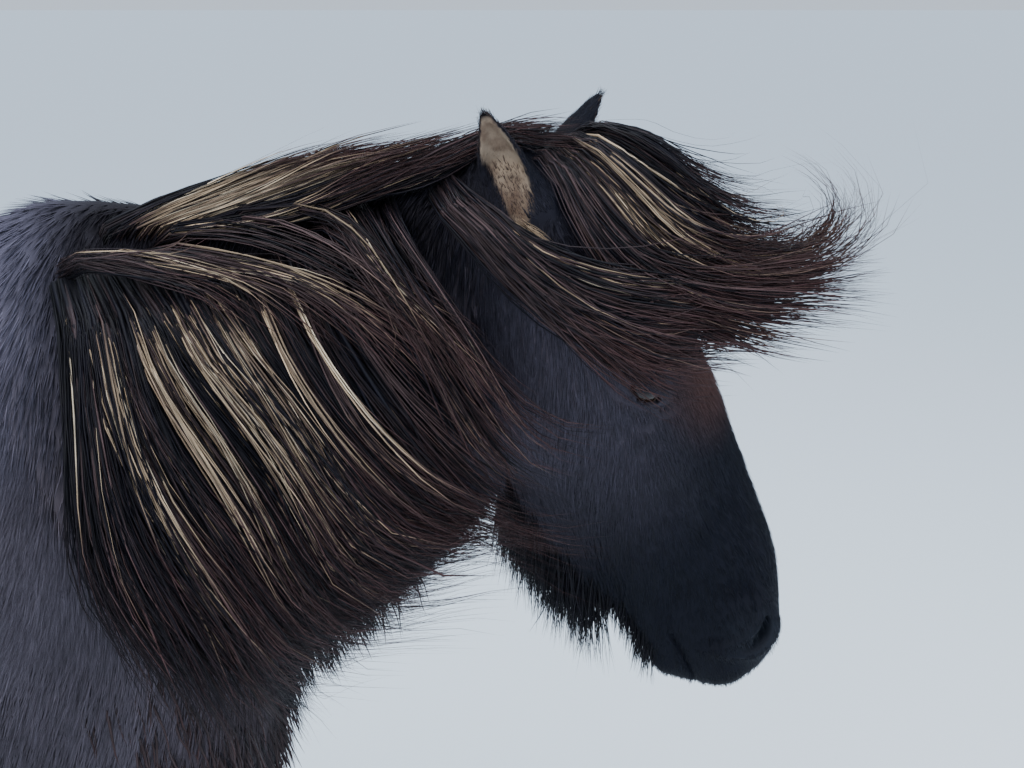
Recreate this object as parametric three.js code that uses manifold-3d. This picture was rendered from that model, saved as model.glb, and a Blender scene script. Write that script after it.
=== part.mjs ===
// A life-size Icelandic horse in its winter coat, standing still with its head hung low and its mane
// blown forward. Millimetres, +X to the nose, -Y to the horse's right, +Z up, origin on the floor
// under the middle of the model.

import * as THREE from 'three';
import { mergeVertices } from 'three/addons/utils/BufferGeometryUtils.js';
import Module from 'manifold-3d';

const wasm = await Module();
wasm.setup();

// Driving dimensions

const gap = 0.3;
const shift = 35;
const farSide = 1;
const nearSide = - 1;

// Torso stations: x along the back, top and bottom heights, half width and the height of the widest line.
const torsoStations = [
	{ x: - 972, top: 1120, bottom: 960, half: 90, wide: 1040 },
	{ x: - 945, top: 1178, bottom: 880, half: 165, wide: 1010 },
	{ x: - 870, top: 1232, bottom: 815, half: 218, wide: 1000 },
	{ x: - 730, top: 1300, bottom: 800, half: 248, wide: 1020 },
	{ x: - 560, top: 1345, bottom: 800, half: 256, wide: 1040 },
	{ x: - 400, top: 1335, bottom: 797, half: 252, wide: 1050 },
	{ x: - 250, top: 1306, bottom: 738, half: 268, wide: 1020 },
	{ x: - 80, top: 1292, bottom: 704, half: 280, wide: 1000 },
	{ x: 80, top: 1324, bottom: 722, half: 268, wide: 1000 },
	{ x: 190, top: 1374, bottom: 744, half: 228, wide: 1000 },
	{ x: 300, top: 1374, bottom: 750, half: 205, wide: 1000 },
	{ x: 385, top: 1236, bottom: 780, half: 170, wide: 980 },
	{ x: 432, top: 1080, bottom: 850, half: 110, wide: 950 },
];
const torsoAround = 20;

// Neck stations: crest and throat points in the side view, half widths near the crest, at the middle and below.
const neckStations = [
	{ crest: [ 100, 1332 ], throat: [ 300, 850 ], upper: 70, middle: 160, lower: 150 },
	{ crest: [ 205, 1380 ], throat: [ 412, 890 ], upper: 50, middle: 140, lower: 132 },
	{ crest: [ 300, 1400 ], throat: [ 474, 945 ], upper: 40, middle: 118, lower: 108 },
	{ crest: [ 410, 1411 ], throat: [ 528, 988 ], upper: 36, middle: 100, lower: 90 },
	{ crest: [ 510, 1424 ], throat: [ 578, 1032 ], upper: 36, middle: 88, lower: 78 },
	{ crest: [ 595, 1446 ], throat: [ 612, 1078 ], upper: 40, middle: 80, lower: 70 },
	{ crest: [ 655, 1450 ], throat: [ 680, 1150 ], upper: 46, middle: 70, lower: 56 },
];
const neckAround = 22;

// Head stations run from the poll to the lips. Face and jaw are measured square to that line.
const poll = new THREE.Vector3( 655, 0, 1430 );
const lipEnd = new THREE.Vector3( 850, 0, 930 );
const headStations = [
	{ at: - 18, face: 22, jaw: 60, bridge: 24, side: 52, cheek: 50, under: 24 },
	{ at: 8, face: 48, jaw: 100, bridge: 36, side: 74, cheek: 68, under: 36 },
	{ at: 60, face: 68, jaw: 118, bridge: 46, side: 88, cheek: 80, under: 40 },
	{ at: 120, face: 82, jaw: 132, bridge: 54, side: 95, cheek: 84, under: 40 },
	{ at: 174, face: 91, jaw: 138, bridge: 57, side: 98, cheek: 84, under: 38 },
	{ at: 227, face: 98, jaw: 136, bridge: 50, side: 95, cheek: 82, under: 34 },
	{ at: 267, face: 101, jaw: 130, bridge: 41, side: 84, cheek: 78, under: 30 },
	{ at: 318, face: 100, jaw: 119, bridge: 35, side: 67, cheek: 67, under: 26 },
	{ at: 384, face: 101, jaw: 96, bridge: 31, side: 54, cheek: 53, under: 24 },
	{ at: 446, face: 99, jaw: 68, bridge: 32, side: 51, cheek: 47, under: 26 },
	{ at: 482, face: 91, jaw: 62, bridge: 33, side: 53, cheek: 46, under: 28 },
	{ at: 521, face: 75, jaw: 56, bridge: 32, side: 48, cheek: 42, under: 26 },
	{ at: 545, face: 56, jaw: 34, bridge: 24, side: 37, cheek: 34, under: 22 },
	{ at: 559, face: 26, jaw: 8, bridge: 10, side: 16, cheek: 15, under: 10 },
];
const headAround = 22;

// Swellings and hollows of the head, given on one side: where, how wide, how far out.
const headSwells = [
	{ at: 196, face: 52, side: 96, spread: 26, out: 9 },
	{ at: 138, face: 40, side: 92, spread: 26, out: - 7 },
	{ at: 205, face: - 72, side: 80, spread: 62, out: 9 },
	{ at: 300, face: 18, side: 68, spread: 30, out: 6 },
	{ at: 372, face: 62, side: 46, spread: 34, out: - 6 },
	{ at: 498, face: 58, side: 48, spread: 24, out: 9 },
	{ at: 440, face: - 20, side: 48, spread: 32, out: - 4 },
];

// Eye, lids, nostril and mouth
const eyeAt = { at: 222, face: 32, side: 81 };
const eyeRadius = 19.5;
const lidRadius = 23.5;
const lidOpening = { length: 36, height: 15, tilt: 0.7 };
const nostrilAt = { at: 504, face: 51, side: 55 };
const nostrilSize = { length: 21, height: 9, depth: 15, tilt: - 0.96 };
const mouthFront = { at: 575, face: - 23 };
const mouthCorner = { at: 476, face: - 30 };
const mouthOpening = 3;

// Ears: base and tip, and the way that the cup faces
const earStations = [
	{ at: - 0.16, across: 19, deep: 17 },
	{ at: 0.06, across: 22, deep: 19 },
	{ at: 0.3, across: 24, deep: 18 },
	{ at: 0.55, across: 22, deep: 14 },
	{ at: 0.78, across: 15, deep: 9 },
	{ at: 0.93, across: 7, deep: 5 },
	{ at: 1, across: 2, deep: 2 },
];
const ears = {
	ear_right: { base: [ 660, - 60, 1376 ], tip: [ 627, - 86, 1477 ], facing: [ - 0.3, - 0.95, 0 ] },
	ear_left: { base: [ 672, 60, 1382 ], tip: [ 733, 82, 1480 ], facing: [ 0.85, 0.5, 0 ] },
};
const earWall = 3.4;

// Leg stations from the body to the coronet: height, front and back of the leg, half width
const foreStations = [
	{ z: 880, front: 395, back: 175, half: 60 },
	{ z: 780, front: 385, back: 196, half: 66 },
	{ z: 690, front: 358, back: 226, half: 57 },
	{ z: 580, front: 344, back: 248, half: 46 },
	{ z: 480, front: 337, back: 261, half: 39 },
	{ z: 415, front: 342, back: 258, half: 41 },
	{ z: 372, front: 339, back: 256, half: 40 },
	{ z: 325, front: 328, back: 264, half: 33 },
	{ z: 255, front: 326, back: 262, half: 31 },
	{ z: 208, front: 332, back: 250, half: 36 },
	{ z: 165, front: 340, back: 258, half: 34 },
	{ z: 115, front: 358, back: 276, half: 36 },
	{ z: 60, front: 374, back: 284, half: 42 },
	{ z: 22, front: 380, back: 296, half: 40 },
];
const hindStations = [
	{ z: 960, front: - 470, back: - 945, half: 92 },
	{ z: 860, front: - 425, back: - 958, half: 108 },
	{ z: 770, front: - 432, back: - 940, half: 98 },
	{ z: 690, front: - 505, back: - 908, half: 78 },
	{ z: 620, front: - 602, back: - 893, half: 60 },
	{ z: 565, front: - 690, back: - 904, half: 48 },
	{ z: 520, front: - 750, back: - 914, half: 44 },
	{ z: 470, front: - 782, back: - 898, half: 44 },
	{ z: 410, front: - 798, back: - 876, half: 38 },
	{ z: 300, front: - 803, back: - 867, half: 32 },
	{ z: 215, front: - 796, back: - 876, half: 36 },
	{ z: 168, front: - 784, back: - 866, half: 34 },
	{ z: 115, front: - 764, back: - 846, half: 36 },
	{ z: 60, front: - 748, back: - 838, half: 41 },
	{ z: 22, front: - 742, back: - 826, half: 39 },
];
const legAround = 14;
const legs = {
	foreleg_right: { stations: foreStations, y: - 112, step: 0, top: 742 },
	foreleg_left: { stations: foreStations, y: 112, step: - 46, top: 742 },
	hindleg_right: { stations: hindStations, y: - 128, step: 0, top: 792 },
	hindleg_left: { stations: hindStations, y: 128, step: 62, top: 792 },
};

// Hooves: length and half width on the floor, coronet height at toe and heel
const hoofSize = { length: 126, half: 60, toe: 74, heel: 40, draw: 30, around: 20 };

// Parting planes of the body: a point and the way across the cut
const neckCut = { point: [ 290, 0, 1140 ], normal: [ 0.9, 0, 0.43 ] };
const headCut = { point: [ 612, 0, 1300 ], normal: [ 0.96, 0, - 0.28 ] };

// Tail: the dock's stations in the side view
const dockStations = [
	{ at: [ - 880, 1165 ], half: 40, deep: 34 },
	{ at: [ - 938, 1176 ], half: 41, deep: 36 },
	{ at: [ - 990, 1148 ], half: 38, deep: 33 },
	{ at: [ - 1014, 1070 ], half: 32, deep: 27 },
	{ at: [ - 1014, 960 ], half: 24, deep: 19 },
	{ at: [ - 1008, 870 ], half: 12, deep: 9 },
];

// Mane: the lie of the hair in the side view, from the withers to the poll, each from the crest to its tip
const maneLies = [
	[ [ 255, 1342 ], [ 281, 1298 ], [ 295, 1240 ], [ 304, 1172 ], [ 320, 1095 ], [ 349, 1031 ], [ 388, 969 ] ],
	[ [ 276, 1346 ], [ 303, 1289 ], [ 330, 1229 ], [ 360, 1155 ], [ 398, 1068 ], [ 434, 972 ], [ 458, 915 ] ],
	[ [ 300, 1350 ], [ 338, 1285 ], [ 370, 1220 ], [ 410, 1140 ], [ 458, 1042 ], [ 500, 1000 ], [ 548, 992 ] ],
	[ [ 345, 1358 ], [ 385, 1290 ], [ 428, 1222 ], [ 472, 1147 ], [ 520, 1074 ], [ 570, 1040 ], [ 622, 1045 ] ],
	[ [ 395, 1368 ], [ 432, 1300 ], [ 474, 1235 ], [ 518, 1166 ], [ 562, 1110 ], [ 610, 1088 ], [ 670, 1096 ] ],
	[ [ 452, 1382 ], [ 480, 1320 ], [ 514, 1256 ], [ 552, 1198 ], [ 594, 1148 ], [ 636, 1126 ], [ 684, 1118 ] ],
	[ [ 520, 1400 ], [ 550, 1345 ], [ 580, 1292 ], [ 612, 1244 ], [ 645, 1206 ], [ 684, 1182 ], [ 734, 1172 ] ],
	[ [ 580, 1415 ], [ 612, 1382 ], [ 645, 1340 ], [ 682, 1298 ], [ 722, 1268 ], [ 768, 1244 ], [ 820, 1226 ] ],
	[ [ 622, 1420 ], [ 655, 1385 ], [ 692, 1350 ], [ 740, 1320 ], [ 790, 1300 ], [ 838, 1290 ], [ 880, 1284 ] ],
];

const rootDepth = 34;

// Forelock: lies over the forehead and past the face, from the poll to the tips
const forelockLies = [
	[ [ 688, 1452 ], [ 736, 1454 ], [ 780, 1426 ], [ 824, 1392 ], [ 874, 1370 ], [ 938, 1382 ] ],
	[ [ 694, 1450 ], [ 738, 1438 ], [ 782, 1396 ], [ 828, 1354 ], [ 886, 1334 ], [ 989, 1343 ] ],
	[ [ 700, 1440 ], [ 742, 1416 ], [ 795, 1362 ], [ 848, 1312 ], [ 905, 1272 ], [ 962, 1238 ] ],
	[ [ 692, 1438 ], [ 712, 1392 ], [ 742, 1336 ], [ 782, 1284 ], [ 830, 1252 ], [ 886, 1240 ] ],
];
const tailLie = [ [ - 985, 1150 ], [ - 1022, 1060 ], [ - 1026, 880 ], [ - 1014, 690 ], [ - 986, 500 ], [ - 944, 330 ] ];

// Colours of the coat, hair, hooves and eyes
const looks = {
	coat: { color: '#3a363d', roughness: 0.9, metalness: 0 },
	mane: { color: '#2b2426', roughness: 0.8, metalness: 0 },
	head: { color: '#1d2029', roughness: 0.85, metalness: 0 },
	ear: { color: '#4a4038', roughness: 0.9, metalness: 0 },
	hoof: { color: '#2a2724', roughness: 0.55, metalness: 0 },
	eye: { color: '#120d0b', roughness: 0.08, metalness: 0 },
};

// Solids

function closedGeometry( points, faces ) {

	let volume = 0;

	for ( const [ a, b, c ] of faces ) {

		volume += points[ a ].dot( new THREE.Vector3().crossVectors( points[ b ], points[ c ] ) );

	}

	const index = faces.flatMap( ( [ a, b, c ] ) => ( volume > 0 ? [ a, b, c ] : [ a, c, b ] ) );
	const geometry = new THREE.BufferGeometry().setFromPoints( points );
	geometry.setIndex( index );
	return geometry;

}

function solidOf( geometry ) {

	const plain = geometry.clone();
	plain.deleteAttribute( 'normal' );
	plain.deleteAttribute( 'uv' );
	const merged = mergeVertices( plain, 1e-2 );
	return new wasm.Manifold( new wasm.Mesh( {
		numProp: 3,
		vertProperties: new Float32Array( merged.attributes.position.array ),
		triVerts: new Uint32Array( merged.index.array ),
	} ) );

}

function geometryOf( solid ) {

	const { vertProperties, triVerts, numProp } = solid.getMesh();
	const positions = new Float32Array( vertProperties.length / numProp * 3 );

	for ( let i = 0; i < positions.length / 3; i ++ ) {

		positions.set( vertProperties.subarray( i * numProp, i * numProp + 3 ), i * 3 );

	}

	const geometry = new THREE.BufferGeometry();
	geometry.setAttribute( 'position', new THREE.BufferAttribute( positions, 3 ) );
	geometry.setIndex( new THREE.BufferAttribute( new Uint32Array( triVerts ), 1 ) );
	return geometry;

}

// The largest closed surface of a geometry, without sealed hollows and loose scraps. It is merged and
// parted again until one body is left.
function largestSurface( geometry ) {

	const bodies = solidOf( geometry ).decompose();
	const largest = geometryOf( bodies.reduce( ( a, b ) => ( b.volume() > a.volume() ? b : a ) ) );
	return bodies.length > 1 ? largestSurface( largest ) : largest;

}

function joined( solids ) {

	return solids.reduce( ( a, b ) => a.add( b ) );

}

// A closed skin through a row of closed outlines, each a ring of control points.
function loftPoints( outlines, around, steps ) {

	const rings = outlines.map( ( outline ) => {

		const curve = new THREE.CatmullRomCurve3( outline, true, 'centripetal' );
		return Array.from( { length: around }, ( _, i ) => curve.getPoint( i / around ) );

	} );
	const rails = Array.from( { length: around }, ( _, i ) =>
		new THREE.CatmullRomCurve3( rings.map( ( ring ) => ring[ i ] ), false, 'centripetal' ) );
	const count = ( outlines.length - 1 ) * steps + 1;
	return Array.from( { length: count }, ( _, j ) => rails.map( ( rail ) => rail.getPoint( j / ( count - 1 ) ) ) );

}

function skinOver( rings ) {

	const around = rings[ 0 ].length;
	const points = rings.flat();
	const faces = [];

	for ( let j = 0; j < rings.length - 1; j ++ ) {

		for ( let i = 0; i < around; i ++ ) {

			const a = j * around + i;
			const b = j * around + ( i + 1 ) % around;
			faces.push( [ a, b, b + around ], [ a, b + around, a + around ] );

		}

	}

	for ( const [ ring, turn ] of [ [ 0, 1 ], [ rings.length - 1, 0 ] ] ) {

		if ( around === 4 ) {

			const [ a, b, c, d ] = [ 0, 1, 2, 3 ].map( ( i ) => ring * around + i );
			faces.push( ...( turn ? [ [ b, a, d ], [ b, d, c ] ] : [ [ a, b, d ], [ b, c, d ] ] ) );
			continue;

		}

		const middle = rings[ ring ].reduce( ( sum, p ) => sum.add( p ), new THREE.Vector3() ).divideScalar( around );
		const centre = points.push( middle ) - 1;

		for ( let i = 0; i < around; i ++ ) {

			const a = ring * around + i;
			const b = ring * around + ( i + 1 ) % around;
			faces.push( turn ? [ b, a, centre ] : [ a, b, centre ] );

		}

	}

	return closedGeometry( points, faces );

}

function rounded( count, power, place ) {

	return Array.from( { length: count }, ( _, i ) => {

		const turn = 2 * Math.PI * i / count;
		const across = Math.sign( Math.sin( turn ) ) * Math.abs( Math.sin( turn ) ) ** ( 2 / power );
		const up = Math.sign( Math.cos( turn ) ) * Math.abs( Math.cos( turn ) ) ** ( 2 / power );
		return place( across, up );

	} );

}

function beyond( { point, normal }, side, margin = gap / 2 ) {

	const size = 4000;
	const across = new THREE.Vector3( ...normal ).normalize().multiplyScalar( side );
	const block = new THREE.BoxGeometry( size, size, size );
	block.translate( 0, 0, size / 2 + margin );
	block.applyQuaternion( new THREE.Quaternion().setFromUnitVectors( new THREE.Vector3( 0, 0, 1 ), across ) );
	block.translate( ...point );
	return solidOf( block );

}

// Torso, neck and head

function torsoRings( grow = 0 ) {

	return loftPoints( torsoStations.map( ( { x, top, bottom, half, wide } ) =>
		rounded( 14, 2.25, ( across, up ) => new THREE.Vector3(
			x + Math.sign( x ) * grow,
			( half + grow ) * across,
			wide + up * ( grow + ( up > 0 ? top - wide : wide - bottom ) )
		) )
	), torsoAround, 2 );

}

function neckRings() {

	return loftPoints( neckStations.map( ( { crest, throat, upper, middle, lower } ) => {

		const at = ( share, y ) => new THREE.Vector3(
			THREE.MathUtils.lerp( crest[ 0 ], throat[ 0 ], share ),
			y,
			THREE.MathUtils.lerp( crest[ 1 ], throat[ 1 ], share )
		);
		const side = ( turn ) => [ at( 0.07, turn * upper ), at( 0.4, turn * middle ), at( 0.75, turn * lower ),
			at( 0.95, turn * lower * 0.5 ) ];
		return [ at( 0, 0 ), ...side( farSide ), at( 1, 0 ), ...side( nearSide ).reverse() ];

	} ), neckAround, 2 );

}

const headLine = lipEnd.clone().sub( poll ).normalize();
const faceLine = new THREE.Vector3( - headLine.z, 0, headLine.x );

function headPoint( { at, face, side = 0 }, turn = farSide ) {

	const point = poll.clone().addScaledVector( headLine, at ).addScaledVector( faceLine, face );
	point.y = turn * side;
	return point;

}

function headRings() {

	const rings = loftPoints( headStations.map( ( { at, face, jaw, bridge, side, cheek, under } ) => {

		const depth = face + jaw;
		const half = ( turn ) => [
			headPoint( { at, face: face - 0.07 * depth, side: bridge }, turn ),
			headPoint( { at, face: face - 0.3 * depth, side }, turn ),
			headPoint( { at, face: face - 0.66 * depth, side: cheek }, turn ),
			headPoint( { at, face: face - 0.93 * depth, side: under }, turn ),
		];
		return [ headPoint( { at, face } ), ...half( farSide ), headPoint( { at, face: - jaw } ),
			...half( nearSide ).reverse() ];

	} ), headAround, 2 );

	for ( const point of rings.flat() ) {

		for ( const swell of headSwells ) {

			const turn = Math.sign( point.y );
			const away = point.distanceTo( headPoint( swell, turn ) ) / swell.spread;
			point.y += turn * swell.out * Math.exp( - away * away );

		}

	}

	return rings;

}

// Legs and hooves

function legPlace( { y, step }, z ) {

	return { x: step * Math.max( 0, 1 - z / 800 ), y: y + Math.sign( y ) * - 6 * Math.max( 0, 1 - z / 500 ) };

}

function legSolid( leg ) {

	return solidOf( skinOver( loftPoints( leg.stations.map( ( { z, front, back, half } ) => {

		const place = legPlace( leg, z );
		return rounded( 8, 2.1, ( across, up ) => new THREE.Vector3(
			( front + back ) / 2 + ( front - back ) / 2 * up + place.x, place.y + half * across, z ) );

	} ), legAround, 1 ) ) );

}

function hoofFrame( leg ) {

	const low = leg.stations[ leg.stations.length - 2 ];
	const place = legPlace( leg, 0 );
	return { toe: low.front + hoofSize.draw + place.x, y: place.y };

}

function hoofRing( leg, height, grow, draw ) {

	const { toe, y } = hoofFrame( leg );
	const { length, half, around } = hoofSize;
	return Array.from( { length: around }, ( _, i ) => {

		const turn = 2 * Math.PI * i / around;
		const ahead = ( Math.cos( turn ) + 1 ) / 2;
		const heelward = Math.max( 0, - Math.cos( turn ) ) ** 2;
		const across = Math.sin( turn ) * half * grow * ( 1 - 0.1 * heelward );
		const x = toe - draw - ( 1 - ahead ) * length * grow * ( 1 - 0.06 * heelward );
		return new THREE.Vector3( x, y + across, height( ( toe - draw - x ) / ( length * grow ) ) );

	} );

}

function hoofSolid( leg ) {

	const { toe, heel, draw } = hoofSize;
	const slope = ( back ) => toe - ( toe - heel ) * back;
	return solidOf( skinOver( [
		hoofRing( leg, () => 0, 0.97, 2 ),
		hoofRing( leg, () => 4, 1, 0 ),
		hoofRing( leg, slope, 0.8, draw * 0.86 ),
	] ) );

}

function coronetPlane( leg ) {

	const { toe } = hoofFrame( leg );
	const { length, draw } = hoofSize;
	const rise = hoofSize.toe - hoofSize.heel;
	const front = toe - draw * 0.86;
	return { point: [ front, 0, hoofSize.toe ], normal: [ - rise, 0, length * 0.8 ] };

}

// Eyes, lids, nostrils, mouth and ears

function ball( centre, radius ) {

	const geometry = new THREE.SphereGeometry( radius, 12, 8 );
	geometry.rotateX( Math.PI / 2 );
	geometry.translate( ...centre );
	return solidOf( geometry );

}

function lensShape( length, height ) {

	const shape = new THREE.Shape();
	shape.moveTo( - length / 2, 0 );
	shape.quadraticCurveTo( 0, height, length / 2, 0 );
	shape.quadraticCurveTo( 0, - height, - length / 2, 0 );
	return shape;

}

function eyeOpening( turn ) {

	const opening = new THREE.ExtrudeGeometry( lensShape( lidOpening.length, lidOpening.height ),
		{ depth: 40, bevelEnabled: false, curveSegments: 6 } );
	opening.rotateX( Math.PI / 2 );
	opening.rotateY( - lidOpening.tilt );
	opening.translate( 0, turn > 0 ? 42 : - 2, 0 );
	opening.translate( ...headPoint( eyeAt, turn ) );
	return solidOf( opening );

}

function nostril( turn ) {

	const { length, height, depth, tilt } = nostrilSize;
	const hollow = new THREE.SphereGeometry( 1, 14, 8 );
	hollow.scale( length, depth, height );
	hollow.rotateY( - tilt );
	hollow.translate( ...headPoint( nostrilAt, turn ) );
	return solidOf( hollow );

}

function mouthLine() {

	const front = headPoint( mouthFront );
	const corner = headPoint( mouthCorner );
	const long = front.distanceTo( corner );
	const outline = new THREE.Shape();
	outline.moveTo( 0, 0 );
	outline.quadraticCurveTo( long * 0.5, mouthOpening * 2.5, long, mouthOpening );
	outline.lineTo( long, - mouthOpening * 0.4 );
	outline.quadraticCurveTo( long * 0.5, mouthOpening * 0.8, 0, 0 );
	const slit = new THREE.ExtrudeGeometry( outline, { depth: 200, bevelEnabled: false, curveSegments: 5 } );
	slit.translate( 0, 0, - 100 );
	slit.rotateX( Math.PI / 2 );
	slit.rotateY( - Math.atan2( front.z - corner.z, front.x - corner.x ) );
	slit.translate( ...corner );
	return solidOf( slit );

}

function earSolid( { base, tip, facing } ) {

	const foot = new THREE.Vector3( ...base );
	const line = new THREE.Vector3( ...tip ).sub( foot );
	const up = line.clone().normalize();
	const open = new THREE.Vector3( ...facing ).projectOnPlane( up ).normalize();
	const wide = new THREE.Vector3().crossVectors( up, open );
	const ringAt = ( { at, across, deep }, thin, forward ) => rounded( 10, 2, ( a, b ) =>
		foot.clone().addScaledVector( line, at )
			.addScaledVector( wide, a * ( across - thin ) )
			.addScaledVector( open, b * ( deep - thin ) + forward * deep ) );
	const outer = solidOf( skinOver( loftPoints( earStations.map( ( s ) => ringAt( s, 0, 0 ) ), 16, 1 ) ) );
	const cup = earStations.slice( 1, - 1 );
	const inner = solidOf( skinOver( loftPoints( cup.map( ( s ) => ringAt( s, earWall * Math.min( 1, s.deep / 10 ), 0.55 ) ),
		12, 1 ) ) );
	return outer.subtract( inner );

}

// Tail

function dockSolid() {

	const line = new THREE.CatmullRomCurve3( dockStations.map( ( { at } ) => new THREE.Vector3( at[ 0 ], 0, at[ 1 ] ) ) );
	return solidOf( skinOver( loftPoints( dockStations.map( ( { at, half, deep }, i ) => {

		const along = line.getTangent( i / ( dockStations.length - 1 ) );
		const up = new THREE.Vector3( - along.z, 0, along.x );
		return rounded( 8, 2, ( a, b ) =>
			new THREE.Vector3( at[ 0 ], a * half, at[ 1 ] ).addScaledVector( up, b * deep ) );

	} ), 12, 2 ) ) );

}

// Hair

function lieCurve( points ) {

	return new THREE.CatmullRomCurve3( points.map( ( [ x, z ] ) => new THREE.Vector3( x, 0, z ) ), false, 'centripetal' );

}

// A lie between two neighbours of a row of lies, share 0 to 1 along the row
function lieBetween( lies, share ) {

	const place = Math.min( share * ( lies.length - 1 ), lies.length - 1.001 );
	const first = Math.floor( place );
	return lies[ first ].map( ( [ x, z ], i ) => [
		THREE.MathUtils.lerp( x, lies[ first + 1 ][ i ][ 0 ], place - first ),
		THREE.MathUtils.lerp( z, lies[ first + 1 ][ i ][ 1 ], place - first ),
	] );

}

// Lays a side-view line on the body: each point moves out to the surface met from that side, and past
// the last such point the line eases to the free distance from the middle plane. Facing is the way
// that the surface looks there.
function draped( points, turn, height, free ) {

	const hits = points.map( ( p ) => {

		caster.set( new THREE.Vector3( p.x, turn * 900, p.z ), new THREE.Vector3( 0, - turn, 0 ) );
		return caster.intersectObject( coatSurface )[ 0 ];

	} );
	const first = hits.findIndex( ( hit ) => hit );
	const last = hits.findLastIndex( ( hit ) => hit );
	const out = hits.map( ( hit ) => ( hit ? turn * hit.point.y + height : null ) );
	const filled = out.map( ( y, i ) => {

		if ( y !== null ) return y;
		if ( first < 0 ) return free;
		if ( i < first ) return THREE.MathUtils.lerp( Math.min( free, out[ first ] ), out[ first ], ( i + 1 ) / ( first + 1 ) );
		if ( i > last ) return THREE.MathUtils.lerp( out[ last ], free, Math.min( 1, ( i - last ) / 6 ) );
		return null;

	} );
	const facing = hits.map( ( hit, i ) => {

		if ( hit ) return hit.face.normal.clone().multiplyScalar( Math.sign( hit.face.normal.y * turn ) );
		return i < first ? new THREE.Vector3( 0, 0.3 * turn, 1 ) : sideways( turn );

	} );

	for ( let i = 1; i < filled.length; i ++ ) filled[ i ] = filled[ i ] ?? filled[ i - 1 ];

	const wide = filled.map( ( y, i ) => Math.max( y, filled[ i - 1 ] ?? y, filled[ i + 1 ] ?? y ) );
	const ease = ( row ) => row.map( ( y, i ) => ( ( row[ i - 1 ] ?? y ) + 2 * y + ( row[ i + 1 ] ?? y ) ) / 4 );
	const soften = ( row ) => row.map( ( f, i ) => f.clone().add( row[ i - 1 ] ?? f ).add( row[ i + 1 ] ?? f ).normalize() );
	const smooth = ease( ease( wide ) );
	return {
		line: points.map( ( p, i ) => new THREE.Vector3( p.x, turn * smooth[ i ], p.z ) ),
		facing: soften( soften( soften( facing ) ) ),
	};

}

let seed = 7;

function random( low, high ) {

	seed = ( seed * 16807 ) % 2147483647;
	return low + ( high - low ) * seed / 2147483647;

}

// A side-view line of hair along a lie, cut to a share of its length, with a slow wave across it
function wavy( lie, share, wave, phase ) {

	const curve = lieCurve( lie );
	const turns = 1.1;
	return Array.from( { length: 12 }, ( _, i ) => {

		const t = i / 11;
		const along = curve.getTangent( t * share );
		const sway = wave * Math.sin( 2 * Math.PI * turns * t + phase ) * Math.min( 1, 1.6 * t );
		return curve.getPoint( t * share ).add( new THREE.Vector3( - along.z * sway, 0, along.x * sway ) );

	} );

}

// A flat lock that tapers along its line, its flat side turned the way it faces there.
function lock( line, { width, thick, facing, rings = 6 } ) {

	const curve = new THREE.CatmullRomCurve3( line, false, 'centripetal' );
	const turning = new THREE.CatmullRomCurve3( facing.length > 1 ? facing : [ facing[ 0 ], facing[ 0 ] ] );
	return solidOf( skinOver( Array.from( { length: rings }, ( _, i ) => {

		const t = i / ( rings - 1 );
		const along = curve.getTangentAt( t );
		const flat = turning.getPoint( curve.getUtoTmapping( t ) ).projectOnPlane( along ).normalize();
		const across = new THREE.Vector3().crossVectors( along, flat );
		const taper = ( 0.6 + 0.4 * THREE.MathUtils.smoothstep( t, 0, 0.3 ) ) * Math.max( 0.07, ( 1 - t ** 2.2 ) ** 0.8 );
		const middle = curve.getPointAt( t );
		return [ [ width, across ], [ thick, flat ], [ - width, across ], [ - thick, flat ] ].map( ( [ size, way ] ) =>
			middle.clone().addScaledVector( way, size * taper / 2 ) );

	} ) ) );

}

// Locks fused to the flesh they grow from. One that would cross its neighbours is laid higher, or left out.
function withLocks( flesh, others, plans ) {

	for ( const plan of plans ) {

		for ( let lift = 0; lift <= 30; lift += 5 ) {

			const { line, ...shape } = plan( lift );
			const room = lock( line, { ...shape, width: shape.width + 3 * gap, thick: shape.thick + 3 * gap } );

			if ( room.intersect( others ).isEmpty() ) {

				flesh = flesh.add( lock( line, shape ) );
				break;

			}

		}

	}

	return flesh;

}

const upward = new THREE.Vector3( 0, 0, 1 );
const sideways = ( turn ) => new THREE.Vector3( 0, turn, 0.15 );

// A line with its root sunk under the crest, where it faces back from the way it will fall
function sunk( { line, facing }, back ) {

	const root = line[ 0 ].clone();
	root.z -= rootDepth;
	root.y *= 0.4;
	return { line: [ root, ...line ], facing: [ back, ...facing ] };

}

function manePlan( share, turn, reach, layer ) {

	const lie = lieBetween( maneLies, share );
	const side = wavy( lie, reach * random( 0.8, 1 ), random( 5, 8 ), 9 * share );
	const height = 7 + 7 * layer;
	const free = 50 + 12 * layer;
	const shape = { width: random( 38, 48 ), thick: random( 4, 5 ) };
	return ( lift ) => ( { ...sunk( draped( side, turn, height + lift, free ), sideways( - turn ) ), ...shape } );

}

function crestPlan( start ) {

	const crest = ( x ) => THREE.MathUtils.lerp( 1392, 1466, ( x - 250 ) / 420 );
	const long = random( 190, 250 );
	const y = random( - 26, 4 );
	const end = random( - 44, - 14 );
	const rise = random( 6, 14 );
	const line = Array.from( { length: 6 }, ( _, i ) => {

		const t = i / 5;
		return new THREE.Vector3( start + long * t, THREE.MathUtils.lerp( y, end, t * t ),
			crest( start + long * t ) + rise * Math.sin( Math.PI * t ) - 4 );

	} );
	const shape = { width: random( 26, 34 ), thick: random( 6, 8 ) };
	return ( lift ) => {

		const lifted = { line: line.map( ( p ) => p.clone().setZ( p.z + lift ) ), facing: line.map( () => upward ) };
		return { ...sunk( lifted, headLine.clone().negate().setZ( 0 ) ), ...shape };

	};

}

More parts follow.
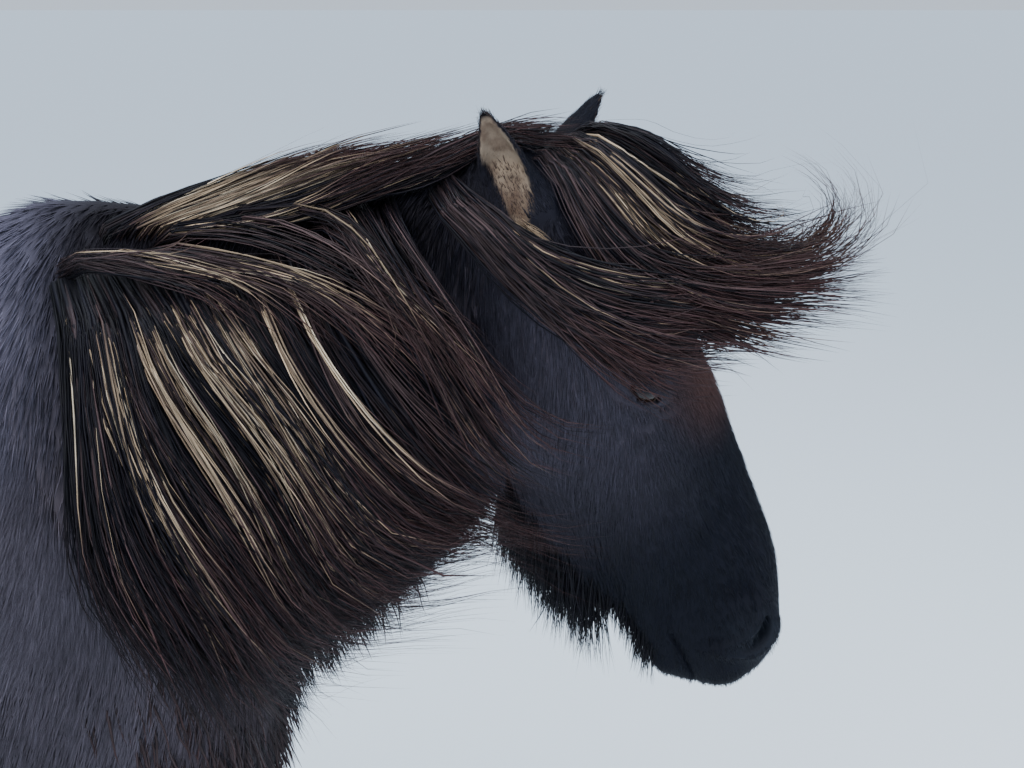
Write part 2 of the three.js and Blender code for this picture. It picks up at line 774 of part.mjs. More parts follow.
function throatPlan( share, turn ) {

	const throat = lieCurve( neckStations.slice( 1, 6 ).map( ( s ) => s.throat ) ).getPoint( share );
	const start = new THREE.Vector3( throat.x - 16, turn * random( 4, 34 ), throat.z + 26 );
	const way = new THREE.Vector3( random( 0.2, 0.5 ), turn * random( 0, 0.15 ), - 1 ).normalize();
	const long = random( 62, 84 );
	const line = [ 0, 0.35, 0.7, 1 ].map( ( t ) => start.clone().addScaledVector( way, long * t )
		.add( new THREE.Vector3( 14 * t * t, 0, 0 ) ) );
	return ( lift ) => ( { line: line.map( ( p ) => p.clone() ), width: 30 - lift * 0.5, thick: 6, facing: [ sideways( turn ) ], rings: 5 } );

}

function forelockPlan( share, y, layer ) {

	const lie = lieBetween( forelockLies, share );
	const side = wavy( lie, random( 0.75, 1 ), random( 5, 8 ), 5 * share );
	const turn = y > 0 ? farSide : nearSide;
	const free = 1.2 * Math.abs( y ) + 4 * layer;
	const height = 6 + 7 * layer;
	const shape = { width: random( 28, 36 ), thick: random( 4, 5 ) };
	const root = headPoint( { at: 12 + 22 * share / forelockLies.length, face: 36, side: Math.abs( y ) * 0.6 }, turn );
	return ( lift ) => {

		const { line, facing } = draped( side, turn, height + lift, free );
		const over = facing.map( ( f, i ) =>
			( i ? faceLine.clone().lerp( f, i / ( facing.length - 1 ) ) : headLine.clone().negate() ) );
		return { line: [ root, ...line.slice( 1 ) ], facing: over, ...shape };

	};

}

function beardPlan( at, turn, long ) {

	const lower = headStations.findLast( ( s ) => s.at <= at );
	const upper = headStations.find( ( s ) => s.at > at );
	const jaw = THREE.MathUtils.mapLinear( at, lower.at, upper.at, lower.jaw, upper.jaw );
	const start = headPoint( { at: at - 6, face: - jaw + 18, side: 11 }, turn );
	const way = new THREE.Vector3( 0.22 + 0.08 * Math.sin( at / 30 ), turn * 0.06, - 1 ).normalize();
	const line = [ 0, 0.35, 0.7, 1 ].map( ( t ) => start.clone().addScaledVector( way, ( long + 18 ) * t )
		.add( new THREE.Vector3( 12 * t * t, 0, 0 ) ) );
	return () => ( { line, width: random( 19, 24 ), thick: 4.5, facing: [ sideways( turn ) ], rings: 5 } );

}

function tailPlan( around, radius ) {

	const out = new THREE.Vector3( - Math.cos( around ), Math.sin( around ), 0 );
	const line = wavy( tailLie, random( 0.8, 1 ), 7, 1 ).slice( radius > 30 ? 1 : 3 ).map( ( p, i, all ) => {

		const t = i / ( all.length - 1 );
		const spread = radius * ( 0.5 + 0.5 * Math.sin( Math.PI * Math.min( 1, 0.15 + 0.7 * t ) ) ) * ( i ? 1 : 0.2 );
		return p.add( out.clone().multiply( new THREE.Vector3( 0.62, 1, 1 ) ).multiplyScalar( spread ) );

	} );
	const shape = { width: random( 26, 32 ), thick: random( 4, 5 ), facing: [ out ], rings: 7 };
	return ( lift ) => ( { line: line.map( ( p, i ) => p.clone().setX( p.x - ( i ? lift : 0 ) ) ), ...shape } );

}

function planned( count, plan ) {

	return Array.from( { length: count }, ( _, i ) => plan( ( i + 0.5 ) / count, i ) );

}

// Assembly

const horse = new THREE.Group();

function addPart( name, solid, look ) {

	const placed = geometryOf( solid ).translate( shift, 0, 0 );
	const mesh = new THREE.Mesh( largestSurface( placed ), new THREE.MeshStandardMaterial( look ) );
	mesh.name = name;
	horse.add( mesh );

}

const sides = [ [ 'right', nearSide ], [ 'left', farSide ] ];
const trunk = solidOf( skinOver( torsoRings() ) ).add( solidOf( skinOver( neckRings() ) ) );
let skull = solidOf( skinOver( headRings() ) );

for ( const [ , turn ] of sides ) {

	skull = skull.add( ball( headPoint( eyeAt, turn ), lidRadius ) )
		.subtract( eyeOpening( turn ) )
		.subtract( nostril( turn ) );

}

skull = skull.subtract( mouthLine() );

const limbs = Object.values( legs ).map( legSolid );
const flesh = joined( [ trunk, skull, ...limbs ] );
const eyeSockets = joined( sides.map( ( [ , turn ] ) => ball( headPoint( eyeAt, turn ), eyeRadius + gap ) ) );
const coatSurface = new THREE.Mesh( geometryOf( flesh ), new THREE.MeshBasicMaterial( { side: THREE.DoubleSide } ) );
const caster = new THREE.Raycaster();
const earSolids = Object.fromEntries( Object.entries( ears ).map( ( [ name, ear ] ) => [ name, earSolid( ear ) ] ) );

const body = flesh.subtract( beyond( headCut, 1, - gap / 2 ) );
const lowered = ( leg, margin ) => beyond( { point: [ 0, 0, leg.top ], normal: [ 0, 0, 1 ] }, - 1, margin );
const hindBlock = beyond( { point: [ - 402, 0, 0 ], normal: [ 1, 0, 0 ] }, - 1, 0 );
const foreBlock = beyond( { point: [ 100, 0, 0 ], normal: [ 1, 0, 0 ] }, 1, 0 );
let torso = body.subtract( beyond( neckCut, 1, - gap / 2 ) );
torso = torso.subtract( lowered( legs.hindleg_right, - gap / 2 ).intersect( hindBlock ) );
torso = torso.subtract( lowered( legs.foreleg_right, - gap / 2 ).intersect( foreBlock ) );
addPart( 'torso', torso, looks.coat );
const neckFlesh = body.intersect( beyond( neckCut, 1 ) );
const headFlesh = flesh.intersect( beyond( headCut, 1 ) ).subtract( eyeSockets );
const eyeballs = joined( sides.map( ( [ , turn ] ) => ball( headPoint( eyeAt, turn ), eyeRadius ) ) );
const earPair = joined( Object.values( earSolids ) );
const headPlans = [
	...planned( 18, ( share, i ) => forelockPlan( share, 44 * Math.cos( 2.4 * i ) * ( 1 - 0.4 * share ) - 8, i % 3 ) ),
	...planned( 13, ( share ) => beardPlan( 190 + 300 * share, nearSide, random( 38, 60 ) ) ),
	...planned( 13, ( share ) => beardPlan( 190 + 300 * share, farSide, random( 38, 60 ) ) ),
];
const head = withLocks( headFlesh, joined( [ neckFlesh, earPair, eyeballs ] ), headPlans );
const neckPlans = [
	...planned( 29, ( share, i ) => manePlan( share, nearSide, 1, i % 4 ) ),
	...planned( 8, ( share, i ) => manePlan( 0.1 + 0.85 * share, farSide, 0.42, i % 2 ) ),
	...planned( 6, ( share ) => crestPlan( 235 + 250 * share ) ),
	...planned( 8, ( share, i ) => throatPlan( share, i % 2 ? farSide : nearSide ) ),
];
const neck = withLocks( neckFlesh, joined( [ torso, head, earPair ] ), neckPlans );
addPart( 'neck', neck, looks.mane );
addPart( 'head', head, looks.head );

for ( const [ side, turn ] of sides ) {

	addPart( `eye_${ side }`, ball( headPoint( eyeAt, turn ), eyeRadius ), looks.eye );

}

for ( const [ name, solid ] of Object.entries( earSolids ) ) {

	addPart( name, solid.subtract( flesh ), looks.ear );

}

for ( const [ name, leg ] of Object.entries( legs ) ) {

	const near = beyond( { point: [ 0, 0, 0 ], normal: [ 0, 1, 0 ] }, Math.sign( leg.y ), 4 );
	const block = leg.stations === foreStations ? foreBlock : hindBlock;
	const limb = flesh.intersect( lowered( leg, gap / 2 ) ).intersect( near ).intersect( block )
		.subtract( beyond( coronetPlane( leg ), - 1, - gap ) );
	addPart( name, limb, looks.coat );
	addPart( name.replace( 'leg', 'hoof' ), hoofSolid( leg ), looks.hoof );

}

const dock = dockSolid().subtract( solidOf( skinOver( torsoRings( 2 * gap ) ) ) );
const tailPlans = [
	...planned( 9, ( share ) => tailPlan( 2 * Math.PI * share, 52 ) ),
	...planned( 6, ( share ) => tailPlan( 2 * Math.PI * share, 26 ) ),
];
addPart( 'tail', withLocks( dock, flesh, tailPlans ), looks.mane );

export default horse;
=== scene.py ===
# Life-size Icelandic horse in its winter coat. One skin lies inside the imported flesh, and the coat,
# mane, forelock, beard and tail are solid tufts and locks that follow the lie of the hair over it.
import math

import bmesh
import bpy
import numpy as np
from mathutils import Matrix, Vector
from mathutils.bvhtree import BVHTree


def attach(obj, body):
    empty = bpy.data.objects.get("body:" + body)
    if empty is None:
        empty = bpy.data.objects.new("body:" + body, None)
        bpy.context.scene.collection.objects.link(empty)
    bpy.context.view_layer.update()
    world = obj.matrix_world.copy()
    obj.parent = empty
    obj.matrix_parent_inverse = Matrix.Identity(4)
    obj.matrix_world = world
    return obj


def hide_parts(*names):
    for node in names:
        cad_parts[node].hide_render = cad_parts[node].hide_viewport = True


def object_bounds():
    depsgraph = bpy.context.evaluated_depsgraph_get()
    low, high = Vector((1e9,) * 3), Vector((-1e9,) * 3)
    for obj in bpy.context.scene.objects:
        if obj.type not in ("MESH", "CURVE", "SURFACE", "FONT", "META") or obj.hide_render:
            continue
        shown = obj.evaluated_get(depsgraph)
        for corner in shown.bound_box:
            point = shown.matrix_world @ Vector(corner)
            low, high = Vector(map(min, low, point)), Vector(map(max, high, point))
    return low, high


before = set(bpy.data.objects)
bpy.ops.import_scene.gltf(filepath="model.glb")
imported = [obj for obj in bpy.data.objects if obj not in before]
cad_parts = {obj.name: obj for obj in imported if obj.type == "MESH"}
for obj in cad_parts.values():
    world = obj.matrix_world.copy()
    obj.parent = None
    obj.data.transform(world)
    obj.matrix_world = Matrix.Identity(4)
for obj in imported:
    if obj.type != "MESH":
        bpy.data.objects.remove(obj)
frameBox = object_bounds()
dice = np.random.default_rng(11)
mm = 0.001
forward = 35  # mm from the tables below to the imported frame, along x
rightSide, leftSide = -1, 1
bothSides = (rightSide, leftSide)
print("frame loaded")


# Hand tools

def pick(*pieces):
    bpy.ops.object.select_all(action="DESELECT")
    for piece in pieces:
        piece.select_set(True)
    if pieces:
        bpy.context.view_layer.objects.active = pieces[0]


def finishWith(piece, kind, **settings):
    pick(piece)
    step = piece.modifiers.new(kind, kind)
    for name, value in settings.items():
        setattr(step, name, value)
    bpy.ops.object.modifier_apply(modifier=step.name)


def pointsOf(piece):
    flat = np.empty(len(piece.data.vertices) * 3, np.float32)
    piece.data.vertices.foreach_get("co", flat)
    return flat.reshape(-1, 3).astype(float)


def normalsOf(piece):
    flat = np.empty(len(piece.data.vertices) * 3, np.float32)
    piece.data.vertex_normals.foreach_get("vector", flat)
    return flat.reshape(-1, 3).astype(float)


def movePoints(piece, points):
    piece.data.vertices.foreach_set("co", points.astype(np.float32).ravel())
    piece.data.update()


def groupOf(piece, name, weights):
    group = piece.vertex_groups.new(name=name)
    chosen = np.nonzero(weights > 0.02)[0]
    for level in np.unique(np.round(weights[chosen], 1)):
        group.add(chosen[np.round(weights[chosen], 1) == level].tolist(), float(level), "REPLACE")


def ease(value, low, high):
    share = np.clip((np.asarray(value, float) - low) / (high - low), 0, 1)
    return share * share * (3 - 2 * share)


def unit(rows):
    return rows / np.maximum(np.linalg.norm(rows, axis=-1, keepdims=True), 1e-9)


def mix(first, second, share):
    share = np.asarray(share)[..., None]
    return first * (1 - share) + second * share


# A slow noise in three directions, about -1 to 1
waves = dice.normal(size=(7, 3))
wavePhases = dice.uniform(0, 2 * math.pi, 7)


def drift(points, perMetre):
    return np.sin(points @ (waves.T * perMetre) + wavePhases).sum(-1) / 3.2


# A smooth curve through points, or through whole rings of them
def through(points, steps, closed=False):
    p = np.asarray(points, float)
    if closed:
        p = np.concatenate([p[-1:], p, p[:2]])
    else:
        p = np.concatenate([2 * p[:1] - p[1:2], p, 2 * p[-1:] - p[-2:-1]])
    a, b, c, d = p[:-3], p[1:-2], p[2:-1], p[3:]
    u, v, w = [np.maximum(np.linalg.norm(e - s, axis=-1, keepdims=True), 1e-9) ** 0.5
               for s, e in ((a, b), (b, c), (c, d))]
    leave = ((b - a) / u - (c - a) / (u + v) + (c - b) / v) * v
    arrive = ((c - b) / v - (d - b) / (v + w) + (d - c) / w) * v
    t = (np.arange(steps) / steps).reshape((1, steps) + (1,) * (p.ndim - 1))
    b, c, leave, arrive = (row[:, None] for row in (b, c, leave, arrive))
    curve = ((2 * t**3 - 3 * t**2 + 1) * b + (t**3 - 2 * t**2 + t) * leave
             + (3 * t**2 - 2 * t**3) * c + (t**3 - t**2) * arrive)
    curve = curve.reshape((-1,) + p.shape[1:])
    return curve if closed else np.concatenate([curve, p[-2:-1]])


# A line cut into evenly spaced points
def evenly(line, count):
    gone = np.concatenate([[0], np.cumsum(np.linalg.norm(np.diff(line, axis=0), axis=1))])
    marks = np.linspace(0, gone[-1], count)
    return np.stack([np.interp(marks, gone, line[:, i]) for i in range(line.shape[1])], 1)


# A closed form drawn from a filled circle, extruded from ring to ring
def drawnForm(name, rings):
    pick()
    bpy.ops.mesh.primitive_circle_add(vertices=len(rings[0]), radius=0.1, fill_type="NGON")
    form = bpy.context.object
    form.name = name
    bpy.ops.object.mode_set(mode="EDIT")
    work = bmesh.from_edit_mesh(form.data)
    work.verts.ensure_lookup_table()
    order = list(range(len(rings[0])))
    for index, place in zip(order, rings[0]):
        work.verts[index].co = place
    for before, ring in zip(rings, rings[1:]):
        step = ring.mean(0) - before.mean(0)
        bpy.ops.mesh.extrude_region_move(TRANSFORM_OT_translate={"value": tuple(step)})
        work = bmesh.from_edit_mesh(form.data)
        work.verts.index_update()
        partner = {}
        for vert in work.verts:
            if vert.select:
                for edge in vert.link_edges:
                    if not edge.other_vert(vert).select:
                        partner[edge.other_vert(vert).index] = vert
        moved = [partner[index] for index in order]
        for vert, place in zip(moved, ring):
            vert.co = place
        order = [vert.index for vert in moved]
    bmesh.update_edit_mesh(form.data)
    bpy.ops.mesh.select_all(action="SELECT")
    bpy.ops.mesh.normals_make_consistent(inside=False)
    bpy.ops.object.mode_set(mode="OBJECT")
    return form


def joinForms(name, forms):
    pick(*forms)
    bpy.ops.object.join()
    whole = bpy.context.object
    whole.name = name
    return whole


def roundedRing(count, power, place):
    turn = 2 * math.pi * np.arange(count) / count
    across = np.sign(np.sin(turn)) * np.abs(np.sin(turn)) ** (2 / power)
    up = np.sign(np.cos(turn)) * np.abs(np.cos(turn)) ** (2 / power)
    return place(across, up)


def tablePoints(x, y, z):
    return np.stack(np.broadcast_arrays(np.asarray(x, float) + forward, y, z), -1) * mm


# Flesh: stations of the trunk, neck and head, in mm as measured on the model

torsoStations = [  # x, top, bottom, half width, height of the widest line
    (-972, 1120, 960, 90, 1040), (-945, 1178, 880, 165, 1010), (-870, 1232, 815, 218, 1000),
    (-730, 1300, 800, 248, 1020), (-560, 1345, 800, 256, 1040), (-400, 1335, 797, 252, 1050),
    (-250, 1306, 738, 268, 1020), (-80, 1292, 704, 280, 1000), (80, 1324, 722, 268, 1000),
    (190, 1374, 744, 228, 1000), (300, 1374, 750, 205, 1000), (385, 1236, 780, 170, 980),
    (432, 1080, 850, 110, 950),
]
neckStations = [  # crest x z, throat x z, half width above, in the middle and below
    (100, 1332, 300, 850, 70, 160, 150), (205, 1380, 412, 890, 50, 140, 132),
    (300, 1400, 474, 945, 40, 118, 108), (410, 1411, 528, 988, 36, 100, 90),
    (510, 1424, 578, 1032, 36, 88, 78), (595, 1446, 612, 1078, 40, 80, 70),
    (655, 1450, 680, 1150, 46, 70, 56),
]
headStations = [  # along the face, to the face, to the jaw, half widths of bridge, side, cheek and under
    (-18, 22, 60, 24, 52, 50, 24), (8, 48, 100, 36, 74, 68, 36), (60, 68, 118, 46, 88, 80, 40),
    (120, 82, 132, 54, 95, 84, 40), (174, 91, 138, 57, 98, 84, 38), (227, 98, 136, 50, 95, 82, 34),
    (267, 101, 130, 41, 84, 78, 30), (318, 100, 119, 35, 67, 67, 26), (384, 101, 96, 31, 54, 53, 24),
    (446, 99, 68, 32, 51, 47, 26), (482, 91, 62, 33, 53, 46, 28), (521, 76, 56, 33, 49, 42, 26),
    (545, 57, 34, 27, 41, 36, 22), (560, 26, 8, 13, 19, 17, 10),
]
headSwells = [  # along, face, side, spread, out
    (196, 52, 96, 26, 9), (138, 40, 92, 26, -7), (205, -72, 80, 62, 9), (300, 18, 68, 30, 6),
    (372, 62, 46, 34, -6), (498, 58, 48, 24, 9), (440, -20, 48, 32, -4),
]
poll = np.array([655 + forward, 0, 1430]) * mm
lipEnd = np.array([850 + forward, 0, 930]) * mm
headLine = unit(lipEnd - poll)
faceLine = np.array([-headLine[2], 0, headLine[0]])
neckStart = tablePoints(290, 0, 1140), np.array([0.9, 0, 0.43])  # where it begins, and which way it goes on
headStart = tablePoints(612, 0, 1300), np.array([0.96, 0, -0.28])

foreStations = [  # height, front, back, half width
    (880, 395, 175, 60), (780, 385, 196, 66), (690, 358, 226, 57), (580, 344, 248, 46),
    (480, 337, 261, 39), (415, 342, 258, 41), (372, 339, 256, 40), (325, 328, 264, 33),
    (255, 326, 262, 31), (208, 332, 250, 36), (165, 340, 258, 34), (115, 358, 276, 36),
    (60, 374, 284, 42), (22, 380, 296, 40),
]
hindStations = [
    (960, -470, -945, 92), (860, -425, -958, 108), (770, -432, -940, 98), (690, -505, -908, 78),
    (620, -602, -893, 60), (565, -690, -904, 48), (520, -750, -914, 44), (470, -782, -898, 44),
    (410, -798, -876, 38), (300, -803, -867, 32), (215, -796, -876, 36), (168, -784, -866, 34),
    (115, -764, -846, 36), (60, -748, -838, 41), (22, -742, -826, 39),
]
legs = {  # stations, y, step forward at the hoof
    "foreleg_right": (foreStations, -112, 0),
    "foreleg_left": (foreStations, 112, -46),
    "hindleg_right": (hindStations, -128, 0),
    "hindleg_left": (hindStations, 128, 62),
}
dockStations = [  # x, z, half width, half depth
    (-880, 1165, 40, 34), (-938, 1176, 41, 36), (-990, 1148, 38, 33), (-1014, 1070, 32, 27),
    (-1014, 960, 24, 19), (-1008, 870, 12, 9),
]


def torsoRings():
    rings = [roundedRing(40, 2.25, lambda across, up: tablePoints(
        x, half * across, wide + up * np.where(up > 0, top - wide, wide - bottom)))
        for x, top, bottom, half, wide in torsoStations]
    return through(rings, 3)


def neckRings():
    shares = [0, 0.07, 0.4, 0.75, 0.95, 1, 0.95, 0.75, 0.4, 0.07]
    rings = []
    for cx, cz, tx, tz, upper, middle, lower in neckStations:
        halves = [0, upper, middle, lower, lower / 2, 0, -lower / 2, -lower, -middle, -upper]
        ring = [tablePoints(cx + (tx - cx) * s, y, cz + (tz - cz) * s) for s, y in zip(shares, halves)]
        rings.append(through(ring, 4, closed=True))
    return through(rings, 4)


def headPoint(at, face, side=0.0):
    point = poll + headLine * np.asarray(at)[..., None] * mm + faceLine * np.asarray(face)[..., None] * mm
    point[..., 1] = np.asarray(side) * mm
    return point


def headFrame(points):
    away = points - poll
    return away @ headLine / mm, away @ faceLine / mm, np.abs(points[..., 1]) / mm


def headRings():
    rings = []
    for at, face, jaw, bridge, side, cheek, under in headStations:
        deep = face + jaw
        half = [(face - 0.07 * deep, bridge), (face - 0.3 * deep, side), (face - 0.66 * deep, cheek),
                (face - 0.93 * deep, under)]
        ring = [headPoint(at, face)] + [headPoint(at, f, s) for f, s in half]
        ring += [headPoint(at, -jaw)] + [headPoint(at, f, -s) for f, s in reversed(half)]
        rings.append(through(ring, 5, closed=True))
    return through(rings, 4)


def legPlace(y, step, z):
    low = np.maximum(0, 1 - z / 800) * step
    return low, y - np.sign(y) * 6 * np.maximum(0, 1 - z / 500)


def legRings(stations, y, step):
    rings = []
    for z, front, back, half in stations:
        ahead, out = legPlace(y, step, z)
        rings.append(roundedRing(24, 2.1, lambda across, up: tablePoints(
            (front + back) / 2 + (front - back) / 2 * up + ahead, out + half * across, z)))
    return through(rings, 3)


def dockRings():
    line = through(np.array([(x, 0, z) for x, z, _, _ in dockStations], float), 1)
    slope = unit(np.gradient(line, axis=0))
    rings = []
    for (x, z, half, deep), (sx, _, sz) in zip(dockStations, slope):
        rings.append(roundedRing(20, 2, lambda across, up: tablePoints(
            x - sz * up * deep, across * half, z + sx * up * deep)))
    return through(rings, 3)


# Ears: base, tip and the way the cup faces
earLook = {"wall": 5.0, "sweep": 112, "around": 12, "lean": 9, "leanFrom": 0.4}
earStations = [  # share of the length, half width, half depth
    (-0.16, 19, 17), (0.06, 22, 19), (0.3, 24, 18), (0.55, 22, 14), (0.78, 15, 9), (0.93, 8, 6),
    (1, 3.5, 3.2),
]
ears = {
    "ear_right": ((660, -60, 1376), (627, -86, 1477), (-0.3, -0.95, 0)),
    "ear_left": ((672, 60, 1382), (733, 82, 1480), (0.85, 0.5, 0)),
}


def earAxes(name):
    base, tip, facing = (np.array(row, float) for row in ears[name])
    base[0] += forward
    tip[0] += forward
    up = unit(tip - base)
    opens = unit(facing - up * (facing @ up))
    return base * mm, (tip - base) * mm, opens, np.cross(up, opens)


def earRings(name):
    base, line, opens, wide = earAxes(name)
    sweep = math.radians(earLook["sweep"])
    turn = np.linspace(-sweep, sweep, earLook["around"])[:, None]
    rings = []
    for at, across, deep in earStations:
        wall = min(earLook["wall"], across * 0.72)
        bend = opens * earLook["lean"] * mm * max(0, at - earLook["leanFrom"]) ** 2  # the tip leans forward
        middle = base + line * at + bend
        outer = middle + wide * np.sin(turn) * across * mm - opens * np.cos(turn) * deep * mm
        inner = (middle + wide * np.sin(turn) * (across - wall) * mm
                 - opens * np.cos(turn) * (deep - min(wall, deep * 0.72)) * mm)
        rings.append(np.concatenate([outer, inner[::-1]]))
    return through(rings, 3)


# Skin: the forms joined to one closed surface, inside the flesh by the depth of the coat
skinLook = {
    "bodyVoxel": 0.0108, "headVoxel": 0.0035, "bodyRounds": 10, "trunkRounds": 26,
    "bodyDepth": 14, "legDepth": 5, "faceDepth": 4,
}
eyeLook = {"at": 222, "face": 32, "side": 80, "radius": 17.5, "lid": 24.5, "long": 36, "high": 12,
           "tilt": 0.70}
nostrilLook = {"at": 505, "face": 51, "depth": 17, "long": 23, "high": 9, "tilt": -0.96, "bend": 9, "drop": 3}
mouthLook = {"frontAt": 575, "frontFace": -23, "cornerAt": 474, "cornerFace": -29, "middleFace": -28,
             "bow": 5, "thick": 2.6, "depth": 7}
cheekRidge = {"at": 262, "face": 22, "long": 110, "rise": 12, "spread": 13, "out": 5}
faceFolds = [  # along, face, the spread of each, out: chin and upper lip
    (520, -52, 16, 14, 4), (552, 4, 16, 20, 4),
]
bodySwells = [  # x, y, z, spread, out
    (250, 190, 1130, 110, 10), (200, 150, 830, 70, 8),  # shoulder blade, elbow
    (-470, 175, 860, 90, 12), (-520, 190, 1230, 70, 7), (-800, 165, 1010, 130, 10),  # stifle, hip, buttock
    (300, 90, 950, 90, 8), (215, 30, 1380, 80, 12),  # breast, withers
    (-20, 200, 1180, 120, -4), (-330, 220, 1050, 110, -7),  # behind the shoulder, flank
]


def bodyForm():
    forms = [drawnForm("trunk", torsoRings()), drawnForm("neckForm", neckRings()),
             drawnForm("dockForm", dockRings())]
    forms += [drawnForm(name + "Form", legRings(*plan)) for name, plan in legs.items()]
    body = joinForms("body", forms)
    finishWith(body, "REMESH", mode="VOXEL", voxel_size=skinLook["bodyVoxel"])
    places = pointsOf(body)
    groupOf(body, "trunk", ease(places[:, 2], 0.60, 0.74) * ease(places[:, 0], 0.70, 0.60))
    finishWith(body, "SMOOTH", factor=0.5, iterations=skinLook["trunkRounds"], vertex_group="trunk")
    finishWith(body, "SMOOTH", factor=0.5, iterations=skinLook["bodyRounds"])
    places, facing = pointsOf(body), normalsOf(body)
    for x, y, z, spread, out in bodySwells:
        for side in bothSides:
            away = np.linalg.norm(places - np.array([x + forward, side * y, z]) * mm, axis=1) / (spread * mm)
            places += facing * (out * mm * np.exp(-away**2))[:, None]
    low = ease(places[:, 2], 0.80, 0.62)
    depth = skinLook["bodyDepth"] * (1 - low) + skinLook["legDepth"] * low
    depth = depth * (1 - 0.5 * ease(-places[:, 0], 0.87, 0.93))  # less on the dock
    movePoints(body, places - facing * depth[:, None] * mm)
    return body


# A place of the face as it lies along and above an opening that is cut at a tilt
def turnedTo(look, at, face):
    away, up = at - look["at"], face - look["face"]
    level, rise = math.cos(look["tilt"]), math.sin(look["tilt"])
    return away * level + up * rise, up * level - away * rise


def eyeShape(at, face):
    along, above = turnedTo(eyeLook, at, face)
    return along / (eyeLook["long"] / 2), above / (eyeLook["high"] / 2)


def nostrilShape(at, face):
    look = nostrilLook
    along, above = turnedTo(look, at, face)
    above = above + look["bend"] * (along / look["long"])**2 - look["drop"]
    return along / look["long"], above / look["high"]


def headForm():
    forms = [drawnForm("headLoft", headRings())]
    forms += [drawnForm(name + "Form", earRings(name)) for name in ears]
    for side in bothSides:
        pick()
        place = headPoint(eyeLook["at"], eyeLook["face"], side * eyeLook["side"])
        bpy.ops.mesh.primitive_uv_sphere_add(segments=32, ring_count=20, radius=eyeLook["lid"] * mm,
                                             location=tuple(place))
        forms.append(bpy.context.object)
    head = joinForms("headForm", forms)
    bpy.ops.object.transform_apply(location=True, rotation=True, scale=True)
    finishWith(head, "REMESH", mode="VOXEL", voxel_size=skinLook["headVoxel"])
    places = pointsOf(head)
    isEar = earShare(places)
    groupOf(head, "face", 1 - isEar)
    finishWith(head, "SMOOTH", factor=0.5, iterations=12, vertex_group="face")
    finishWith(head, "SMOOTH", factor=0.4, iterations=2)
    places, facing = pointsOf(head), normalsOf(head)
    at, face, side = headFrame(places)
    isEar = earShare(places)
    swell = np.zeros(len(places))
    for a, f, s, spread, out in headSwells:
        swell += out * np.exp(-(((at - a)**2 + (face - f)**2 + (side - s)**2) / spread**2))
    swell += faceDetail(at, face, side)
    depth = skinLook["faceDepth"] * (1 - isEar) + 0.4 * isEar
    moved = places + facing * ((swell * (1 - isEar) - depth) * mm)[:, None]
    movePoints(head, carve(moved))
    return head


def earShare(places):
    share = np.zeros(len(places))
    for name in ears:
        base, line, _, _ = earAxes(name)
        away = places - base
        up = away @ line / (line @ line)
        near = np.linalg.norm(away - line * np.clip(up, 0, 1)[:, None], axis=1)
        share = np.maximum(share, ease(up, 0.02, 0.16) * ease(near, 0.045, 0.034))
    return share


# Folds of the face: lid rims, cheek ridge, chin, upper lip and nostril wings
def faceDetail(at, face, side):
    along, above = eyeShape(at, face)
    rim = np.sqrt(along**2 + above**2)
    lids = 2.2 * np.exp(-((rim - 1.35) / 0.28)**2) - 1.8 * np.exp(-((rim - 2.1) / 0.35)**2)
    out = ease(side, 50, 70) * lids
    look = cheekRidge  # from below the eye towards the nostril
    share = np.clip((at - look["at"]) / look["long"], 0, 1)
    away = np.hypot(at - (look["at"] + look["long"] * share), face - (look["face"] + look["rise"] * share))
    out += look["out"] * np.exp(-(away / look["spread"])**2) * ease(side, 20, 40)
    for foldAt, foldFace, long, high, rise in faceFolds:
        out += rise * np.exp(-(((at - foldAt) / long)**2 + ((face - foldFace) / high)**2))
    ring = np.hypot(*nostrilShape(at, face))
    out += 5 * np.exp(-((ring - 1.5) / 0.5)**2) * ease(side, 12, 26)
    hollow = ((at - 452) / 18)**2 + ((face - 44) / 18)**2  # behind the nostril
    out -= 3 * np.exp(-hollow) * ease(side, 20, 34)
    return out


# Openings pressed into the surface: the eye's, the nostril's comma and the mouth's line
def carve(places):
    at, face, side = headFrame(places)
    sign = np.sign(places[:, 1])
    along, above = eyeShape(at, face)
    socket = ease(np.abs(along)**1.7 + np.abs(above), 1.05, 0.86) * ease(side, 60, 70)
    eyeBack = eyeLook["side"] - 4
    places[:, 1] += sign * socket * np.minimum(0, eyeBack - side) * mm
    nostril = ease(np.hypot(*nostrilShape(at, face)), 1.0, 0.55) * ease(side, 14, 26) * ease(at, 440, 460)
    places[:, 1] -= sign * nostril * nostrilLook["depth"] * mm
    places += (nostril * -0.35 * nostrilLook["depth"] * mm)[:, None] * headLine
    look = mouthLook
    corner = np.array([look["cornerAt"], look["cornerFace"]])
    run = np.array([look["frontAt"], look["frontFace"]]) - corner
    here = np.stack([at, face], 1) - corner
    share = here @ run / (run @ run)
    bow = look["bow"] * np.sin(np.clip(share, 0, 1) * math.pi)  # the line dips in the middle
    off = (here[:, 0] * -run[1] + here[:, 1] * run[0]) / np.linalg.norm(run) - bow
    slit = np.exp(-(off / look["thick"])**2) * ease(share, -0.06, 0.08) * ease(at, 470, 482)
    way = unit(headPoint(at, look["middleFace"]) - places)
    places += way * (slit * look["depth"] * mm)[:, None]
    return places


